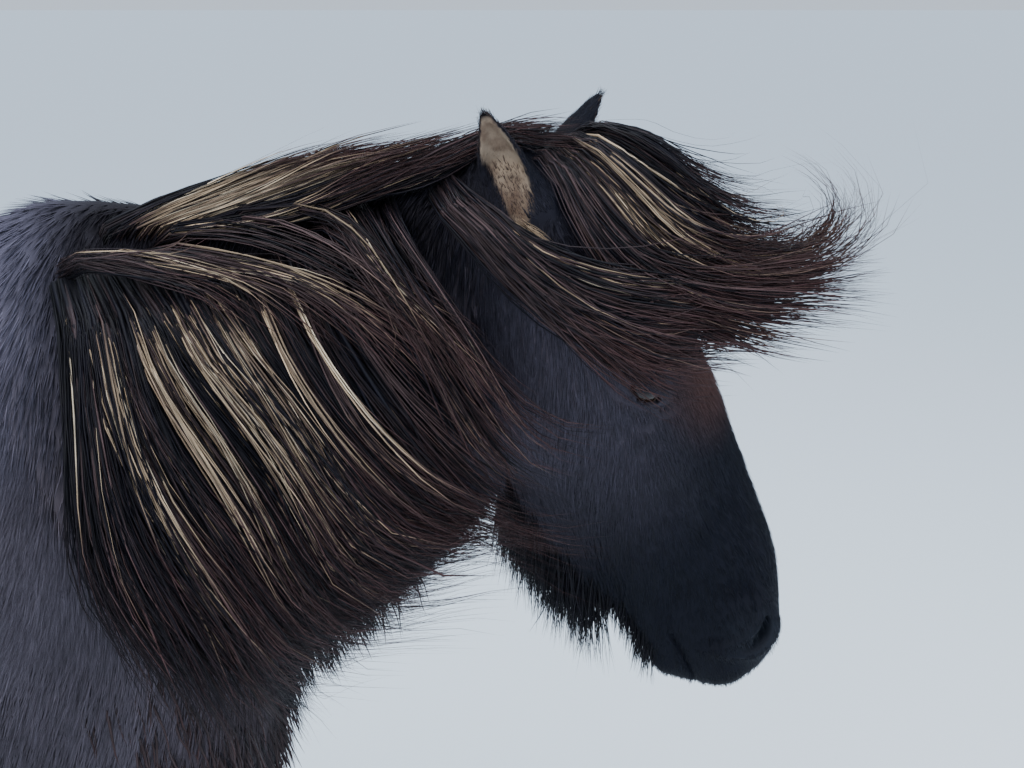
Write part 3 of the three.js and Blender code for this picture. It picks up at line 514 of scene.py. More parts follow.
body = bodyForm()
print("body form", len(body.data.polygons))
head = headForm()
print("head form", len(head.data.polygons))
bodyTree = BVHTree.FromObject(body, bpy.context.evaluated_depsgraph_get())
headTree = BVHTree.FromObject(head, bpy.context.evaluated_depsgraph_get())
finishWith(body, "BOOLEAN", operation="UNION", object=head, solver="EXACT")
bpy.data.objects.remove(head)
skin = body
skin.name = "skin"
places = pointsOf(skin)
meeting = np.zeros(len(places))
for i in np.nonzero((places[:, 0] > 0.5) & (places[:, 2] > 0.95))[0]:
    here = Vector(places[i])
    far = max(bodyTree.find_nearest(here)[3] or 0, headTree.find_nearest(here)[3] or 0)
    meeting[i] = 1 - ease(far, 0.006, 0.022)
meeting *= 1 - earShare(places)
groupOf(skin, "meeting", meeting)
finishWith(skin, "SMOOTH", factor=0.5, iterations=14, vertex_group="meeting")
skin.vertex_groups.clear()
pick(skin)
bpy.ops.object.shade_smooth()
bpy.ops.object.mode_set(mode="EDIT")
bpy.ops.mesh.select_all(action="SELECT")
bpy.ops.mesh.quads_convert_to_tris(quad_method="BEAUTY", ngon_method="BEAUTY")
bpy.ops.uv.smart_project(angle_limit=math.radians(72), island_margin=0.002)
bpy.ops.object.mode_set(mode="OBJECT")
skin.data.uv_layers[0].name = "OFBake"
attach(skin, "root")
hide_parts("torso", "neck", "head", "ear_right", "ear_left", *legs, "tail")
print("skin", len(skin.data.polygons))


# The skin read once for all hair that grows from it
def readSkin():
    mesh = skin.data
    mesh.calc_loop_triangles()
    count = len(mesh.loop_triangles)
    corners, loops = np.empty(count * 3, np.int32), np.empty(count * 3, np.int32)
    mesh.loop_triangles.foreach_get("vertices", corners)
    mesh.loop_triangles.foreach_get("loops", loops)
    flat = np.empty(len(mesh.loops) * 2, np.float32)
    mesh.uv_layers[0].data.foreach_get("uv", flat)
    corners, loops = corners.reshape(-1, 3), loops.reshape(-1, 3)
    points = pointsOf(skin)
    p = points[corners]
    cross = np.cross(p[:, 1] - p[:, 0], p[:, 2] - p[:, 0])
    return {
        "points": points, "normals": normalsOf(skin), "corners": corners, "centres": p.mean(1),
        "areas": np.linalg.norm(cross, axis=1) / 2, "map": flat.reshape(-1, 2)[loops].astype(float),
    }


surface = readSkin()
skinTree = BVHTree.FromPolygons(surface["points"].tolist(), surface["corners"].tolist())


def rootMap(points):
    found = [skinTree.find_nearest(Vector(p))[2] or 0 for p in points]
    return surface["map"][found].mean(1)


# Where each part of the horse is, as soft shares from 0 to 1
def regions(points):
    x, _, z = points.T
    at, face, side = headFrame(points)
    beyondNeck, beyondHead = ((points - start) @ way for start, way in (neckStart, headStart))
    head = ease(beyondHead, -0.03, 0.03)
    return {
        "head": head, "neck": ease(beyondNeck, -0.05, 0.05) * (1 - head), "ear": earShare(points),
        "leg": ease(z, 0.76, 0.66), "at": at, "face": face, "side": side,
        "shoulder": ease(x, 0.02, 0.36), "croup": ease(-x, 0.55, 0.85), "belly": ease(z, 0.86, 0.76),
    }


# How far a place of the skin is inside the cup of an ear
def cupShare(points, normals):
    share = np.zeros(len(points))
    heights, widths, depths = np.array(earStations, float).T
    for name in ears:
        base, line, opens, wide = earAxes(name)
        away = points - base
        up = away @ line / (line @ line)
        leaned = earLook["lean"] * np.maximum(0, up - earLook["leanFrom"])**2
        across = (away @ wide) / mm / np.interp(up, heights, widths)
        deep = ((away - up[:, None] * line) @ opens / mm - leaned) / np.interp(up, heights, depths)
        outward = unit(across[:, None] * wide + deep[:, None] * opens)
        inside = ease(np.hypot(across, deep), 0.98, 0.86) * ease((normals * outward).sum(1), 0.5, 0.0)
        inside *= ease(up, 0.04, 0.12) * ease(up, 0.99, 0.93)
        flare = ease(up, -0.05, 0.35)
        low = ease(np.abs(across), 0.45 + 0.6 * flare, 0.3 + 0.5 * flare)
        low *= (ease(normals @ opens, 0.1, 0.4) * ease(up, -0.06, 0.02) * ease(up, 0.6, 0.4)
                * ease(deep, -0.4, 0.2))
        inside = np.maximum(inside, low)
        ahead = across * np.sign(wide[0])  # the back edge slants forward to the base
        edge = -0.95 + 0.95 * ease(up, 0.8, 0.1)
        inside *= ease(ahead, edge - 0.08, edge + 0.12) * ease(ahead, 0.92, 0.76)
        share = np.maximum(share, inside * (np.sign(points[:, 1]) == np.sign(base[1])))
    return share


whorl = np.array([298, 0, 1346]) * mm
coatLies = {  # which way the hair points, part by part
    "trunk": (-0.85, 0, -0.42), "shoulder": (-0.18, 0, -1), "croup": (-0.55, 0, -0.85),
    "belly": (-0.95, 0, -0.2), "leg": (-0.1, 0, -1), "neck": (-0.25, 0, -0.95), "crown": (0.15, 0, 0.6),
    "jaw": (0.2, 0, -1),
}


# The lie of the coat: along the skin, out of the whorl, down the limbs, back along the barrel
def lieOf(points, normals):
    r = regions(points)
    shares = {**r, "belly": r["belly"] * (1 - r["shoulder"])}
    lie = np.tile(coatLies["trunk"], (len(points), 1))
    for part in ("shoulder", "croup", "belly", "leg", "neck"):
        lie = mix(lie, np.array(coatLies[part]), shares[part])
    away = (points - whorl) * [1, 0, 1]
    near = np.exp(-(np.linalg.norm(away, axis=1) / 0.085)**2) * (1 - r["neck"])
    lie = mix(unit(lie), unit(away + 1e-6), near * ease(points[:, 2], 1.15, 1.25))
    onHead = headLine - faceLine * (0.55 * ease(r["face"], 40, -40))[:, None]
    onHead = mix(onHead, np.array(coatLies["crown"]), ease(r["at"], 120, 40) * ease(r["face"], 10, 50))
    onHead = mix(onHead, np.array(coatLies["jaw"]), ease(r["face"], -50, -90))
    lie = mix(lie, onHead, r["head"])
    for name in ears:
        base, line, _, _ = earAxes(name)
        lie = mix(lie, unit(line), r["ear"] * (np.sign(points[:, 1]) == np.sign(base[1])))
    lie[:, 1] += np.sign(points[:, 1]) * 0.12 * (1 - r["head"]) * ease(points[:, 2], 1.1, 1.3)
    lie = lie - normals * (lie * normals).sum(1)[:, None]
    return unit(lie), r


# The box that the hair keeps to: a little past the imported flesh, and just off the floor
reachLow = np.array([frameBox[0][0] - 0.035, frameBox[0][1] - 0.006, 0.004])
reachHigh = np.array([frameBox[1][0] + 0.030, frameBox[1][1] + 0.006, frameBox[1][2] + 0.020])
reachGive = 0.006  # the most that a tip still goes past it


# Hair as solid mesh: every tuft or lock is a closed three-sided taper along its own line
def hairPiece(name, lines, across, facing, half, thick, roots, shade, tone, material):
    count, rings = lines.shape[:2]
    for axis, (least, most) in enumerate(zip(reachLow, reachHigh)):
        spot = lines[:, :, axis]
        spot = np.where(spot > most, most + reachGive * np.tanh((spot - most) / 0.03), spot)
        lines[:, :, axis] = np.where(spot < least, least - reachGive * np.tanh((least - spot) / 0.03), spot)
    body = lines[:, :-1]
    wide = across[:, :-1] * half[:, :-1, None]
    high = facing[:, :-1] * thick[:, :-1, None]
    verts = np.stack([body + wide - high * 0.3, body + high, body - wide - high * 0.3], 2)
    per = (rings - 1) * 3 + 1  # points of one tuft, its tip last
    verts = np.concatenate([verts.reshape(count, -1, 3), lines[:, -1:]], 1).reshape(-1, 3)
    quads, tris = [], [(0, 2, 1)]
    for ring in range(rings - 2):
        for corner in range(3):
            a, b = ring * 3 + corner, ring * 3 + (corner + 1) % 3
            quads.append((a, b, b + 3, a + 3))
    last = (rings - 2) * 3
    tris += [(last + corner, last + (corner + 1) % 3, per - 1) for corner in range(3)]
    start = (np.arange(count) * per)[:, None, None]
    quads = (np.array(quads, np.int64).reshape(-1, 4)[None] + start).reshape(count, -1)
    tris = (np.array(tris)[None] + start).reshape(count, -1)
    loops = np.concatenate([quads, tris], 1)
    sizes = np.tile([4] * (quads.shape[1] // 4) + [3] * (tris.shape[1] // 3), count)
    # the first tuft tells which way all faces look
    first = loops[0][-3:]
    span = np.cross(verts[first[1]] - verts[first[0]], verts[first[2]] - verts[first[0]])
    if span @ (verts[first].mean(0) - lines[0, -2]) < 0:
        ends = np.cumsum(sizes)
        face = np.repeat(np.arange(len(sizes)), sizes)
        loops = loops.ravel()[(ends - sizes)[face] + ends[face] - 1 - np.arange(loops.size)]
    mesh = bpy.data.meshes.new(name)
    mesh.vertices.add(len(verts))
    mesh.vertices.foreach_set("co", verts.astype(np.float32).ravel())
    mesh.loops.add(loops.size)
    mesh.loops.foreach_set("vertex_index", loops.astype(np.int32).ravel())
    mesh.polygons.add(len(sizes))
    mesh.polygons.foreach_set("loop_start", (np.cumsum(sizes) - sizes).astype(np.int32))
    mesh.polygons.foreach_set("use_smooth", np.ones(len(sizes), bool))
    mesh.update(calc_edges=True)
    ringOf = np.concatenate([np.repeat(np.arange(rings - 1), 3), [rings - 1]])
    along = np.linspace(0, 1, rings)[ringOf]
    side = np.concatenate([np.tile([-1.0, 0.0, 1.0], rings - 1), [0.0]])
    length = np.linalg.norm(np.diff(lines, axis=1), axis=2).sum(1)
    strand = np.stack([side[None] * half[:, :1] * 0.8 + np.arange(count)[:, None] * 0.037,
                       along[None] * length[:, None], np.zeros((count, per))], -1)
    tone = np.broadcast_to(tone if tone.ndim > 1 else tone[:, None], (count, rings))
    for label, kind, values in (
            ("strand", "FLOAT_VECTOR", strand), ("along", "FLOAT", np.tile(along, count)),
            ("shade", "FLOAT", np.repeat(shade, per)), ("tone", "FLOAT", tone[:, ringOf])):
        layer = mesh.attributes.new(label, kind, "POINT")
        layer.data.foreach_set("vector" if kind == "FLOAT_VECTOR" else "value",
                               np.ascontiguousarray(values, np.float32).ravel())
    # each tuft takes a small patch of the skin's own map
    patch = roots[:, None] + np.stack([side * 0.0015, (along - 0.5) * 0.003], 1)[None]
    patch = np.clip(patch.reshape(-1, 2)[loops.ravel()], 0.0005, 0.9995)
    layer = mesh.uv_layers.new(name="OFBake")
    layer.data.foreach_set("uv", patch.astype(np.float32).ravel())
    piece = bpy.data.objects.new(name, mesh)
    bpy.context.collection.objects.link(piece)
    mesh.materials.append(material)
    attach(piece, "root")
    print(name, count, "tufts", int((sizes - 2).sum()), "triangles")


# Materials

def feed(tree, socket, value):
    if isinstance(value, bpy.types.NodeSocket):
        tree.links.new(value, socket)
    else:
        socket.default_value = value


def addNode(tree, kind, settings=(), **inputs):
    made = tree.nodes.new(kind)
    for name, value in dict(settings).items():
        setattr(made, name, value)
    for name, value in inputs.items():  # i0, i1 and so on are inputs by number
        feed(tree, made.inputs[int(name[1:]) if name[0] == "i" and name[1:].isdigit() else name], value)
    return made


def freshMaterial(name, roughness, specular=0.5):
    material = bpy.data.materials.new(name)
    material.use_nodes = True
    shader = material.node_tree.nodes["Principled BSDF"]
    shader.inputs["Roughness"].default_value = roughness
    shader.inputs["Specular IOR Level"].default_value = specular
    return material, material.node_tree, shader


def blend(tree, share, first, second):
    made = addNode(tree, "ShaderNodeMix", {"data_type": "RGBA"}, i0=share)
    for index, colour in ((6, first), (7, second)):
        feed(tree, made.inputs[index], colour + (1,) if isinstance(colour, tuple) else colour)
    return made.outputs[2]


def stretch(tree, value, low, high, first=0.0, second=1.0):
    made = addNode(tree, "ShaderNodeMapRange", {"interpolation_type": "SMOOTHSTEP"}, Value=value)
    for name, number in (("From Min", low), ("From Max", high), ("To Min", first), ("To Max", second)):
        made.inputs[name].default_value = number
    return made.outputs["Result"]


def calc(tree, kind, first, second=0.0, third=0.0):
    return addNode(tree, "ShaderNodeMath", {"operation": kind}, i0=first, i1=second, i2=third).outputs[0]


def vectorCalc(tree, kind, first, second=(0, 0, 0)):
    return addNode(tree, "ShaderNodeVectorMath", {"operation": kind}, i0=first, i1=tuple(second)).outputs


def distanceAlong(tree, place, start, way):
    away = vectorCalc(tree, "SUBTRACT", place, start)[0]
    return vectorCalc(tree, "DOT_PRODUCT", away, way)["Value"]


def nearTo(tree, place, spot, size):
    return stretch(tree, vectorCalc(tree, "DISTANCE", place, spot)["Value"], 0.0, size, 1.0, 0.0)


# A scale of three numbers draws the noise out along the axes
def noise(tree, place, scale, detail, turn=(0, 0, 0)):
    if isinstance(scale, tuple):
        place = addNode(tree, "ShaderNodeMapping", Vector=place, Scale=scale, Rotation=turn).outputs[0]
        scale = 1.0
    return addNode(tree, "ShaderNodeTexNoise", Vector=place, Scale=scale, Detail=detail).outputs["Fac"]


def addBump(tree, shader, height, strength, distance):
    bump = addNode(tree, "ShaderNodeBump", Strength=strength, Distance=distance, Height=height)
    tree.links.new(bump.outputs[0], shader.inputs["Normal"])


def attribute(tree, name):
    return addNode(tree, "ShaderNodeAttribute", {"attribute_name": name}).outputs


def darken(tree, colour, factor):
    grey = addNode(tree, "ShaderNodeCombineXYZ", i0=factor, i1=factor, i2=factor).outputs[0]
    return addNode(tree, "ShaderNodeVectorMath", {"operation": "MULTIPLY"}, i0=colour, i1=grey).outputs[0]


coatColours = {
    # withers is a painted sheen: the pale blue-grey that the top of the back catches from the sky
    "body": (0.132, 0.114, 0.142), "bodyDark": (0.066, 0.056, 0.071), "withers": (0.20, 0.20, 0.30),
    "breast": (0.050, 0.022, 0.018), "leg": (0.013, 0.010, 0.010), "neck": (0.011, 0.0098, 0.0150),
    # cheek is a painted sheen: the paler grey that the fur of the jowls shows where it catches the light
    "face": (0.0037, 0.0046, 0.0106), "cheek": (0.060, 0.053, 0.072), "brow": (0.070, 0.032, 0.028),
    # nostril is a painted highlight: a paler blue-grey round the nostril's rim, where it catches the light
    "muzzle": (0.0032, 0.0042, 0.0094), "nostril": (0.014, 0.017, 0.025),
    "inEar": (0.20, 0.155, 0.115), "inEarDark": (0.085, 0.056, 0.040),
}
faceMarksAndSheens = {  # along, face and side in mm, reach in metres
    # cheek is a painted sheen and nostril a painted highlight; brow is the forehead's own brown patch
    "cheek": (205, -80, 80, 0.23), "nostril": (508, 52, 34, 0.052), "brow": (246, 90, 30, 0.082),
}


def facePatch(tree, place, colour, name, side):
    at, face, out, reach = faceMarksAndSheens[name]
    return blend(tree, nearTo(tree, place, headPoint(at, face, side * out), reach), colour, coatColours[name])


# The same markings, painted sheen and painted shade for skin and coat, from the place on the body alone
def markingsAndPaintedLight(tree):
    place = addNode(tree, "ShaderNodeTexCoord").outputs["Object"]
    xyz = addNode(tree, "ShaderNodeSeparateXYZ", i0=place).outputs
    cloud = noise(tree, place, 5.0, 3.0)
    fine = noise(tree, place, 38.0, 4.0)
    ragged = calc(tree, "MULTIPLY_ADD", cloud, 0.16, -0.08)  # the edges of the markings wander
    look = coatColours
    colour = blend(tree, stretch(tree, cloud, 0.35, 0.68), look["bodyDark"], look["body"])
    colour = blend(tree, stretch(tree, fine, 0.2, 0.9, 0.0, 0.5), colour, look["bodyDark"])
    height = calc(tree, "ADD", xyz[2], ragged)
    # painted shade: the body turns darker towards the belly, the lower the more
    colour = blend(tree, stretch(tree, height, 1.20, 0.80, 0.0, 0.45), colour, look["bodyDark"])
    # painted sheen: the top of the back, the withers and the base of the neck turn pale blue-grey, the higher
    # the more
    colour = blend(tree, stretch(tree, height, 1.14, 1.40, 0.0, 0.7), colour, look["withers"])
    colour = blend(tree, stretch(tree, height, 0.72, 0.42), colour, look["leg"])
    breast = calc(tree, "MULTIPLY", stretch(tree, xyz[0], 0.30, 0.46), stretch(tree, height, 1.02, 0.86))
    breast = calc(tree, "MULTIPLY", breast, stretch(tree, height, 0.62, 0.74))
    colour = blend(tree, calc(tree, "MULTIPLY", breast, 0.6), colour, look["breast"])
    neck = calc(tree, "ADD", distanceAlong(tree, place, *neckStart), ragged)
    colour = blend(tree, stretch(tree, neck, -0.06, 0.10), colour, look["neck"])
    head = calc(tree, "ADD", distanceAlong(tree, place, *headStart), ragged)
    colour = blend(tree, stretch(tree, head, -0.05, 0.05), colour, look["face"])
    # painted sheen on both cheeks: a paler grey patch on the jowls
    for side in bothSides:
        colour = facePatch(tree, place, colour, "cheek", side)
    down = distanceAlong(tree, place, poll, headLine)
    colour = blend(tree, stretch(tree, down, 0.40, 0.50), colour, look["muzzle"])
    # painted highlight round each nostril's rim; the brow's brown patch is the coat's own colour
    for side in bothSides:
        for name in ("nostril", "brow"):
            colour = facePatch(tree, place, colour, name, side)
    return colour, place, fine


def skinMaterial():
    material, tree, shader = freshMaterial("skinCoat", roughness=0.7, specular=0.1)
    colour, place, fine = markingsAndPaintedLight(tree)
    colour = darken(tree, colour, 0.72)
    inEar = blend(tree, stretch(tree, fine, 0.35, 0.6), coatColours["inEarDark"], coatColours["inEar"])
    colour = blend(tree, attribute(tree, "cup")["Fac"], colour, inEar)
    tree.links.new(colour, shader.inputs["Base Color"])
    addBump(tree, shader, noise(tree, place, (420.0, 420.0, 90.0), 3.0, (0, 0.38, 0)), 0.55, 0.0012)
    return material


# Fine lines along each tuft or lock, for its bump and its colour
def strandBump(tree, shader, across, strength):
    fine = noise(tree, attribute(tree, "strand")["Vector"], (across, across * 0.02, 1.0), 2.0)
    addBump(tree, shader, fine, strength, 0.001)
    return fine


def furMaterial():
    material, tree, shader = freshMaterial("winterCoat", roughness=0.62, specular=0.14)
    colour, _, _ = markingsAndPaintedLight(tree)
    hairs = strandBump(tree, shader, 1500.0, 0.5)
    along = attribute(tree, "along")["Fac"]
    shade = attribute(tree, "shade")["Fac"]
    light = calc(tree, "MULTIPLY", stretch(tree, along, 0.0, 0.9, 0.72, 1.2), shade)
    light = calc(tree, "MULTIPLY", light, stretch(tree, hairs, 0.3, 0.7, 0.55, 1.5))
    tree.links.new(darken(tree, colour, light), shader.inputs["Base Color"])
    return material


maneColours = {
    "dark": (0.0030, 0.0028, 0.0056), "brown": (0.046, 0.029, 0.030), "red": (0.056, 0.021, 0.020),
    "blond": (0.235, 0.175, 0.118), "cream": (0.38, 0.32, 0.24),
}


# The tone of each strand, from dark over brown and blond to cream, with sun-reddened tips
def maneMaterial(name, redness):
    material, tree, shader = freshMaterial(name, roughness=0.48, specular=0.14)
    tone, along, shade = (attribute(tree, label)["Fac"] for label in ("tone", "along", "shade"))
    hairs = strandBump(tree, shader, 1700.0, 0.6)
    look = maneColours
    colour = blend(tree, stretch(tree, tone, 0.05, 0.38), look["dark"], look["brown"])
    colour = blend(tree, stretch(tree, tone, 0.40, 0.66), colour, look["blond"])
    colour = blend(tree, stretch(tree, tone, 0.70, 0.98), colour, look["cream"])
    tips = calc(tree, "MULTIPLY", stretch(tree, along, 0.55, 1.0), redness)
    tips = calc(tree, "MULTIPLY", tips, stretch(tree, tone, 0.0, 0.16, 0.12, 1.0))
    colour = blend(tree, tips, colour, look["red"])
    light = calc(tree, "MULTIPLY", shade, stretch(tree, hairs, 0.3, 0.7, 0.6, 1.45))
    tree.links.new(darken(tree, colour, light), shader.inputs["Base Color"])
    return material


skin.data.materials.clear()
skin.data.materials.append(skinMaterial())
cups = skin.data.attributes.new("cup", "FLOAT", "POINT")
cups.data.foreach_set("value", cupShare(surface["points"], surface["normals"]).astype(np.float32))
fur = furMaterial()
maneHair = maneMaterial("maneHair", 0.55)
tailHair = maneMaterial("tailHair", 0.4)
beardHair = maneMaterial("beardHair", 0.08)
earHair = maneMaterial("earHair", 0.0)


# Coat: tufts sown over the skin by area, piece by piece
coatLook = {
    "coat_shoulder_right": {"count": 46000, "length": 44, "half": 0.8},
    "coat_breast_right": {"count": 26000, "length": 44, "half": 0.95},
    "coat_shoulder_left": {"count": 15000, "length": 48, "half": 1.7},
    "coat_barrel_right": {"count": 20000, "length": 48, "half": 1.45},
    "coat_barrel_left": {"count": 13000, "length": 50, "half": 1.9},
    "coat_quarters": {"count": 21500, "length": 48, "half": 1.9},
    "coat_neck": {"count": 18000, "length": 42, "half": 1.3},
    "coat_head": {"count": 42000, "length": 20, "half": 0.62},
    "coat_muzzle": {"count": 26000, "length": 13, "half": 0.55},
    "coat_forelegs": {"count": 15000, "length": 26, "half": 1.3},
    "coat_hindlegs": {"count": 15500, "length": 28, "half": 1.5},
}
headCoats = ("coat_head", "coat_muzzle")
coatSplits = {  # metres: x where shoulder and quarters begin, z under which breast and legs begin
    "shoulder": 0.05, "quarters": -0.42, "breast": 1.05, "foreleg": 0.72, "hindleg": 0.76,
    "hindlegFrom": -0.36, "overlap": 0.07,
}
maneEdge = np.array([  # x and z in mm of the mane's hind edge, which hides the coat before it
    (306, 977), (309, 1050), (318, 1122), (306, 1189), (297, 1250), (287, 1303), (274, 1344)])


def coatOwner(points):
    r = regions(points)
    look = coatSplits
    x, y, z = points.T
    mixed = x + np.clip(dice.normal(0, look["overlap"], len(x)), -0.15, 0.15)  # neighbours overlap
    owner = np.where(y < 0, "coat_barrel_right", "coat_barrel_left").astype("<U24")
    before = mixed > look["shoulder"]
    owner[before & (y < 0)] = "coat_shoulder_right"
    owner[before & (y < 0) & (z < look["breast"])] = "coat_breast_right"
    owner[before & (y >= 0)] = "coat_shoulder_left"
    owner[mixed < look["quarters"]] = "coat_quarters"
    owner[r["neck"] > 0.5] = "coat_neck"
    owner[(z < look["foreleg"]) & (x > 0)] = "coat_forelegs"
    owner[(z < look["hindleg"]) & (x < look["hindlegFrom"])] = "coat_hindlegs"
    owner[r["head"] > 0.5] = "coat_head"
    owner[(r["head"] > 0.5) & (r["at"] > 330)] = "coat_muzzle"
    owner[r["ear"] > 0.3] = "coat_head"
    return owner


# Random places on the triangles chosen: point, normal and place on the skin's map
def placesOn(chosen):
    u, v = dice.random((2, len(chosen)))
    over = u + v > 1
    u[over], v[over] = 1 - u[over], 1 - v[over]
    shares = np.stack([1 - u - v, u, v], 1)[:, :, None]
    corners = surface["corners"][chosen]
    return ((surface["points"][corners] * shares).sum(1), unit((surface["normals"][corners] * shares).sum(1)),
            (surface["map"][chosen] * shares).sum(1))


def sow(name, plan, owners):
    chosen = np.nonzero(owners == name)[0]
    centres = surface["centres"][chosen]
    weight = surface["areas"][chosen].copy()
    if name in headCoats:
        r = regions(centres)
        at, face, side = r["at"], r["face"], r["side"]
        weight *= 1 + 0.6 * ease(at, 480, 520) + 0.8 * r["ear"]
        weight *= np.where(centres[:, 1] < 0, 1.4, 0.8)
        weight *= ~((np.hypot(*eyeShape(at, face)) < 1.15) & (side > 55))  # none on the eye or in the nostril
        weight *= ~((np.hypot(*nostrilShape(at, face)) < 1.15) & (at > 440))
        facing = unit(surface["normals"][surface["corners"][chosen]].mean(1))
        weight *= cupShare(centres, facing) < 0.15
    if name in ("coat_shoulder_right", "coat_breast_right"):  # thinner under the mane
        edge = (np.interp(centres[:, 2] / mm, maneEdge[:, 1], maneEdge[:, 0]) + forward + 25) * mm
        weight *= np.where((centres[:, 0] > edge) & (centres[:, 2] > 0.98), 0.3, 1.0)
    return placesOn(chosen[dice.choice(len(chosen), plan["count"], p=weight / weight.sum())])


def coatSizes(name, plan, roots, r):
    long = np.full(len(roots), float(plan["length"]))
    lift = np.full(len(roots), 0.09)
    if name in headCoats:
        jaw = ease(r["face"], -40, -95) * ease(r["at"], 60, 120) * ease(r["at"], 520, 470)
        long = 19 + 9 * ease(r["face"], 20, -50) * ease(r["at"], 420, 330) + 16 * jaw
        long = np.where(r["at"] > 380, long - 9 * ease(r["at"], 380, 500), long)
        long = long * (1 - r["ear"]) + 11 * r["ear"]
        nearEye = ease(np.hypot(*eyeShape(r["at"], r["face"])), 2.6, 1.2)
        long = long * (1 - ease(r["side"], 45, 60) * 0.7 * nearEye)
        lift = 0.10 + 0.20 * jaw
    if name in ("coat_forelegs", "coat_hindlegs"):
        long = 17 + 15 * ease(roots[:, 2], 0.38, 0.66)
    if "barrel" in name or "shoulder" in name or "breast" in name:
        long = long + 14 * ease(roots[:, 2], 0.84, 0.74)  # longer under the belly, flatter beside the withers
        lift = lift - 0.04 * ease(roots[:, 2], 1.2, 1.34) * ease(roots[:, 0], 0.1, 0.3) * (roots[:, 1] < 0)
    return long * mm, lift


# Moves out what stands less than so far off the skin
def keepOff(line, clear, first=0, within=math.inf):
    for k in range(first, len(line)):
        near, outward, _, away = skinTree.find_nearest(Vector(line[k]))
        lack = clear - (Vector(line[k]) - near).dot(outward)
        if lack > 0 and away <= within:
            line[k] += np.array(outward) * lack


def growCoat(name, plan, owners):
    onHead = name in headCoats
    roots, normals, patch = sow(name, plan, owners)
    lie, r = lieOf(roots, normals)
    count = len(roots)
    across = np.cross(normals, lie)
    swerve = 0.13 * drift(roots, 9.0) + 0.10 * drift(roots + 3.1, 34.0) + dice.normal(0, 0.09, count)
    lie = unit(lie + across * swerve[:, None])
    long, lift = coatSizes(name, plan, roots, r)
    long = long * dice.uniform(0.7, 1.25, count)
    lift = np.clip(lift + dice.normal(0, 0.025, count) + 0.02 * drift(roots + 1.7, 28.0), 0.035, 0.7)
    half = plan["half"] * mm * dice.uniform(0.75, 1.3, count)
    half = half * np.clip(long / (plan["length"] * mm), 0.6, 1.3)
    low = roots - normals * (long * 0.06)[:, None]
    tip = roots + lie * long[:, None] + normals * (long * lift)[:, None]
    keepOff(tip, 0.0011 if onHead else 0.0024)
    lines = np.stack([low, tip], 1)
    run = unit(tip - low)
    facing = unit(normals - run * (run * normals).sum(-1, keepdims=True))
    side = np.cross(facing, run)
    double = lambda rows: np.repeat(rows[:, None], 2, 1)
    widths = half[:, None] * np.array([1.0, 0.0])
    spread = 0.12 if onHead else 0.14
    shade = np.clip(dice.normal(1.0, spread, count) + 0.6 * spread * drift(roots + 0.7, 42.0), 0.45, 1.7)
    hairPiece(name, lines, double(side), double(facing), widths, widths * 0.42, patch, shade, np.zeros(count),
              fur)


owners = coatOwner(surface["centres"])
for name, plan in coatLook.items():
    growCoat(name, plan, owners)
print("coat grown")


# Drape: how far out the skin stands from the middle plane, seen from one side, over a grid of x and z
class Drape:
    step = 0.012
    xs = np.arange(0.08, 1.10, step)
    zs = np.arange(0.66, 1.58, step)
    fillRounds, bridgeRounds, softRounds = 90, 3, 5

    def __init__(self, side):
        self.side = side
        out = np.full((len(self.xs), len(self.zs)), np.nan)
        for i, x in enumerate(self.xs):
            for j, z in enumerate(self.zs):
                hit = skinTree.ray_cast(Vector((x, side * 1.0, z)), Vector((0, -side, 0)))[0]
                if hit is not None and hit.y * side > -0.02:
                    out[i, j] = hit.y * side
        beside = ((0, 1), (0, -1), (1, 0), (-1, 0))
        moved = lambda padded, steps: np.stack([
            padded[1 + a:len(out) + 1 + a, 1 + b:out.shape[1] + 1 + b] for a, b in steps])
        for _ in range(self.fillRounds):  # beyond the outline the hair hangs on at its edge's distance
            empty = np.isnan(out)
            if not empty.any():
                break
            near = moved(np.pad(out, 1, constant_values=np.nan), beside)
            known = ~np.isnan(near)
            total = np.where(known, near, 0).sum(0)
            fill = np.where(known.any(0), total / np.maximum(known.sum(0), 1), np.nan)
            out = np.where(empty, fill, out)
        for _ in range(self.bridgeRounds):  # hair bridges the hollows and doesn't dive at the edges
            out = moved(np.pad(out, 1, mode="edge"), ((0, 0),) + beside).max(0)
        for _ in range(self.softRounds):
            padded = np.pad(out, 1, mode="edge")
            out = np.maximum(out, 0.0) * 0.4 + 0.15 * (padded[2:, 1:-1] + padded[:-2, 1:-1]
                                                      + padded[1:-1, 2:] + padded[1:-1, :-2])
        self.out = out
        self.slopeX, self.slopeZ = np.gradient(out, self.step)

    def read(self, grid, x, z):
        i = np.clip((x - self.xs[0]) / self.step, 0, len(self.xs) - 1.001)
        j = np.clip((z - self.zs[0]) / self.step, 0, len(self.zs) - 1.001)
        a, b = i.astype(int), j.astype(int)
        s, t = i - a, j - b
        return ((grid[a, b] * (1 - s) + grid[a + 1, b] * s) * (1 - t)
                + (grid[a, b + 1] * (1 - s) + grid[a + 1, b + 1] * s) * t)

    def lay(self, flat, height):
        x, z = flat.T
        out = self.read(self.out, x, z) + height
        facing = np.stack([-self.read(self.slopeX, x, z), np.ones(len(x)), -self.read(self.slopeZ, x, z)], 1)
        facing = unit(facing) * [1, self.side, 1]
        return np.stack([x, self.side * out, z], 1), facing


drapes = {side: Drape(side) for side in bothSides}
print("drape read")


